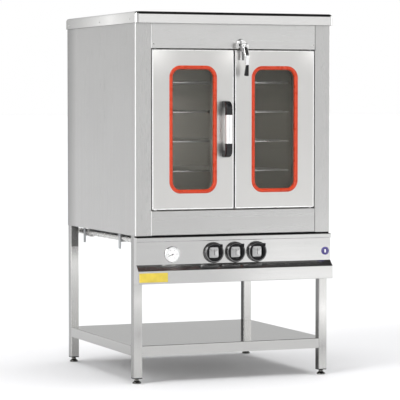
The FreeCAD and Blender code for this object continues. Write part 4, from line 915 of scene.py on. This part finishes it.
class OVEN_OT_handle(bpy.types.Operator):
    """Door handle: two black elbows and a satin grip"""

    bl_idname = "oven.handle"
    bl_label = "Door handle"

    def execute(self, context):
        low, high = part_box("handle_brackets")
        grip_low, grip_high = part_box("handle_grip")
        width, bend = sizes().elbow
        aside, back = sizes().handle_shift
        half = width / 2
        middle = (low.x + high.x) / 2 - aside
        front = low.y + half + back
        section = squircle(half, half, 4.5)
        elbows = []
        for end, grip_end in ((high.z - half, grip_high.z), (low.z + half, grip_low.z)):
            corners = [(middle, high.y, end), (middle, front, end), (middle, front, grip_end)]
            elbows.append(bent_bar(section, corners, bend, [(0.0, 1.0), (1.0, 1.0)]))
        gloss = moulded("elbow plastic", colours().plastic, 0.12, 0.2, Specular_IOR_Level=0.4)
        piece("handle_elbows", elbows, gloss, "left_door", ["handle_brackets"])
        satin = brushed_steel("handle satin", colours().grip, ALONG_Z, 0.4, 0.5, 0.03)
        bar = turned(disc(half, grip_high.z - grip_low.z), (middle, front, grip_low.z), UP)
        piece("handle_bar", [bar], satin, "left_door", ["handle_grip"])
        return {"FINISHED"}


def latch_lever(pivot):
    """The hub with two dark discs of painted shade for its spanner holes, a block beside it, the hanging arm
    and the tongue.
    """
    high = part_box("latch_lever")[1]
    grip_low, grip_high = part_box("latch_grip")
    foot = np.array((pivot[0], high.y, pivot[2]))
    hub = turned(softened(LATCH_HUB, HUB_ROUND), foot)
    centre = pivot[[0, 2]]
    block = eased_slab(centre + np.array((2, -16)) * MM, centre + np.array((20, 11)) * MM, 7 * MM,
                       high.y - 7.8 * MM, 19 * MM, 6 * MM)
    bow = (grip_low.y + grip_high.y) / 2
    hang = (grip_low.x + grip_high.x) / 2 + 1.5 * MM
    corners = [(hang, high.y - 18 * MM, pivot[2] - 8 * MM), (hang + MM, bow, pivot[2] - 48 * MM),
               (hang, bow, grip_high.z - 3 * MM)]
    section = squircle(*(np.array(sizes().lever) / 2), 6)
    arm = bent_bar(section, corners, 9 * MM, [(0.0, 1.0), (0.55, 1.0), (1.0, 0.66)])
    tongue = sizes().tongue
    tongue = blocks([foot + (0.0, -tongue[1] / 2, tongue[2] / 2)], ACROSS, FRONT, UP, tongue)
    piece("latch_arm", [hub, block, arm], bright_chrome(), "latch", ["latch_lever"],
          boxes=tongue)
    # Dark discs on the hub's face: painted shade for its two spanner holes
    dark = cast_metal("painted hole shade", (0.1, 0.1, 0.1), 0.3, 0.42)
    face = foot + LATCH_HUB[-1, 1] * FRONT
    dimples = [turned(disc(2 * MM, 0.3 * MM), face + way * 4 * MM * ACROSS, turns=24) for way in (-1, 1)]
    piece("latch_dimples", dimples, dark, "latch")


class OVEN_OT_latch(bpy.types.Operator):
    """Turn latch: chrome lever on a hub, black grip, a bracket with stripes of painted dark reflection, and a
    rosette on the header
    """

    bl_idname = "oven.latch"
    bl_label = "Turn latch"

    def execute(self, context):
        pivot = np.array(JOINT_PLACE["latch_turn"])
        latch_lever(pivot)
        reach = sizes().rosette_radius
        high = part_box("latch_keeper")[1]
        outline = softened([(0.0, 9.3 * MM), (reach - MM, 8.4 * MM), (reach, 0.0), (0.0, 0.0)],
                           [0, 6 * MM, 0, 0])
        rosette = turned(outline, (pivot[0], high.y, high.z + MM - reach))
        piece("latch_rosette", [rosette], bright_chrome(), "cabinet")
        dress(moulded("black grip", colours().plastic, 0.3, 0.45, Specular_IOR_Level=0.2), "latch_grip")
        low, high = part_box("latch_bracket")
        wide = high.x - low.x
        # Stripes of painted dark reflection on the bracket
        painted_dark_stripes = (([("X", low.x + 0.12 * wide, 0.16 * wide)], 0.42),
                   ([("X", low.x + 0.8 * wide, 0.24 * wide)], 0.22))
        dress(brushed_steel("bracket steel", colours().chrome, ALONG_Z, 0.2, 0.3, painted_dark_bands=painted_dark_stripes),
              "latch_bracket")
        return {"FINISHED"}


class OVEN_OT_plate(bpy.types.Operator):
    """Bare yellow plate on the apron"""

    bl_idname = "oven.plate"
    bl_label = "Bare plate"

    def execute(self, context):
        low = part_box("control_panel")[0]
        enamel = moulded("yellow enamel", colours().plate, 0.3, 0.45)
        left, bottom = low.x + 4 * MM, low.z + 7.5 * MM
        width, height = sizes().plate
        slab = eased_slab((left, bottom), (left + width, bottom + height), 2 * MM, low.y, 0.8 * MM, 0.3 * MM)
        piece("apron_plate", [slab], enamel, "cabinet")
        return {"FINISHED"}


def facing(way):
    """The turn that points a camera or a lamp along a direction."""
    return Vector(way).to_track_quat("-Z", "Y").to_euler()


def stage_camera(scene, stage):
    data = bpy.data.cameras.new("camera")
    data.lens = stage.lens
    data.sensor_width = 36.0
    data.clip_end = 1000.0
    camera = bpy.data.objects.new("camera", data)
    camera.location = stage.viewpoint
    camera.rotation_euler = facing(Vector(stage.aim) - Vector(stage.viewpoint))
    scene.collection.objects.link(camera)
    scene.camera = camera


def stage_floor(scene, stage):
    half = stage.floor_size / 2
    mesh = bpy.data.meshes.new("floor")
    corners = [(-half, -half, 0), (half, -half, 0), (half, half, 0), (-half, half, 0)]
    mesh.from_pydata(corners, [], [(0, 1, 2, 3)])
    floor = bpy.data.objects.new("floor", mesh)
    scene.collection.objects.link(floor)
    look = Finish("floor paint")
    paint = look.mottled(look.noise(60.0), stage.floor_colour, 0.99, 1.01)
    mesh.materials.append(look.done(Base_Color=paint, Roughness=0.9, Specular_IOR_Level=0.1,
                                    Emission_Color=(1.0, 1.0, 1.0, 1.0), Emission_Strength=0.04))


def stage_room(scene, stage):
    """White walls under a dark ceiling, with patches that add their strength to directions near their axes.
    The camera sees plain white."""
    world = bpy.data.worlds.new("white room")
    world.use_nodes = True
    scene.world = world
    graph = Graph(world.node_tree)
    direction = graph.node("TexCoord").outputs["Generated"]
    height = graph.node("SeparateXYZ", {"Vector": direction}).outputs["Z"]
    light = graph.ranged(height, stage.wall_light, stage.ceiling_light, 0.42, 0.72, "SMOOTHSTEP")
    for axis, inner, outer, strength in PATCHES:
        toward = graph.node("VectorMath", {0: direction, 1: Vector(axis).normalized()},
                            operation="DOT_PRODUCT").outputs["Value"]
        start, end = np.cos(np.radians((outer, inner)))
        light = graph.joined("ADD", light, graph.ranged(toward, 0.0, strength, start, end, "SMOOTHSTEP"))
    seen = graph.node("LightPath").outputs["Is Camera Ray"]
    mix = graph.node("Mix", {"Factor": seen, "A": light, "B": 1.0}, data_type="FLOAT")
    graph.feed(world.node_tree.nodes["Background"], {"Color": mix.outputs["Result"]})


def lamp(scene, name, kind, way, **settings):
    """A lamp that shines along a direction."""
    data = bpy.data.lights.new(name, kind)
    for key, value in settings.items():
        setattr(data, key, value)
    made = bpy.data.objects.new(name, data)
    made.rotation_euler = facing(way)
    scene.collection.objects.link(made)
    return made


def stage_lamps(scene, stage):
    """A wide lamp overhead, a wide fill from the front and a soft box on the right."""
    for name, way, energy, shadow in (("top lamp", (-0.06, 0.1, -1.0), stage.top_light, True),
                                      ("front lamp", (0.37, 0.92, 0.02), stage.front_light, False)):
        wide = lamp(scene, name, "SUN", way, energy=energy, angle=math.radians(58.0), use_shadow=shadow)
        wide.visible_glossy = False
    box = lamp(scene, "right soft box", "AREA", Vector(stage.box_aim) - Vector(stage.box_place),
               energy=stage.side_light, shape="RECTANGLE", size=1.6, size_y=0.5)
    box.location = stage.box_place
    box.visible_camera = False


class OVEN_OT_stage(bpy.types.Operator):
    """Camera, pale floor and soft light"""

    bl_idname = "oven.stage"
    bl_label = "Stage"

    def execute(self, context):
        scene = context.scene
        for make in (stage_camera, stage_floor, stage_room, stage_lamps):
            make(scene, scene.oven_stage)
        scene.view_settings.view_transform = "Standard"
        return {"FINISHED"}


MAKERS = (OVEN_OT_sheet_steel, OVEN_OT_edges, OVEN_OT_feet, OVEN_OT_window_seals, OVEN_OT_knobs, OVEN_OT_dial,
          OVEN_OT_igniter, OVEN_OT_handle, OVEN_OT_latch, OVEN_OT_plate, OVEN_OT_stage)


class OVEN_PT_sidebar(bpy.types.Panel):
    """Lists the oven's makers"""

    bl_idname = "OVEN_PT_sidebar"
    bl_label = "Pastry oven"
    bl_space_type = "VIEW_3D"
    bl_region_type = "UI"
    bl_category = "Oven"

    def draw(self, context):
        for maker in MAKERS:
            self.layout.operator(maker.bl_idname)


GROUPS = {"oven_colours": OvenColours, "oven_sizes": OvenSizes, "oven_stage": OvenStage}
CLASSES = (*GROUPS.values(), *MAKERS, OVEN_PT_sidebar)


def register():
    for cls in CLASSES:
        bpy.utils.register_class(cls)
    for name, group in GROUPS.items():
        setattr(bpy.types.Scene, name, bpy.props.PointerProperty(type=group))


def unregister():
    for name in GROUPS:
        delattr(bpy.types.Scene, name)
    for cls in reversed(CLASSES):
        bpy.utils.unregister_class(cls)


def main():
    register()
    bpy.ops.oven.sheet_steel()
    bpy.ops.oven.edges()
    bpy.ops.oven.feet()
    bpy.ops.oven.window_seals()
    bpy.ops.oven.knobs()
    bpy.ops.oven.dial()
    bpy.ops.oven.igniter()
    bpy.ops.oven.handle()
    bpy.ops.oven.latch()
    bpy.ops.oven.plate()
    bpy.ops.oven.stage()


if __name__ == "__main__":
    main()
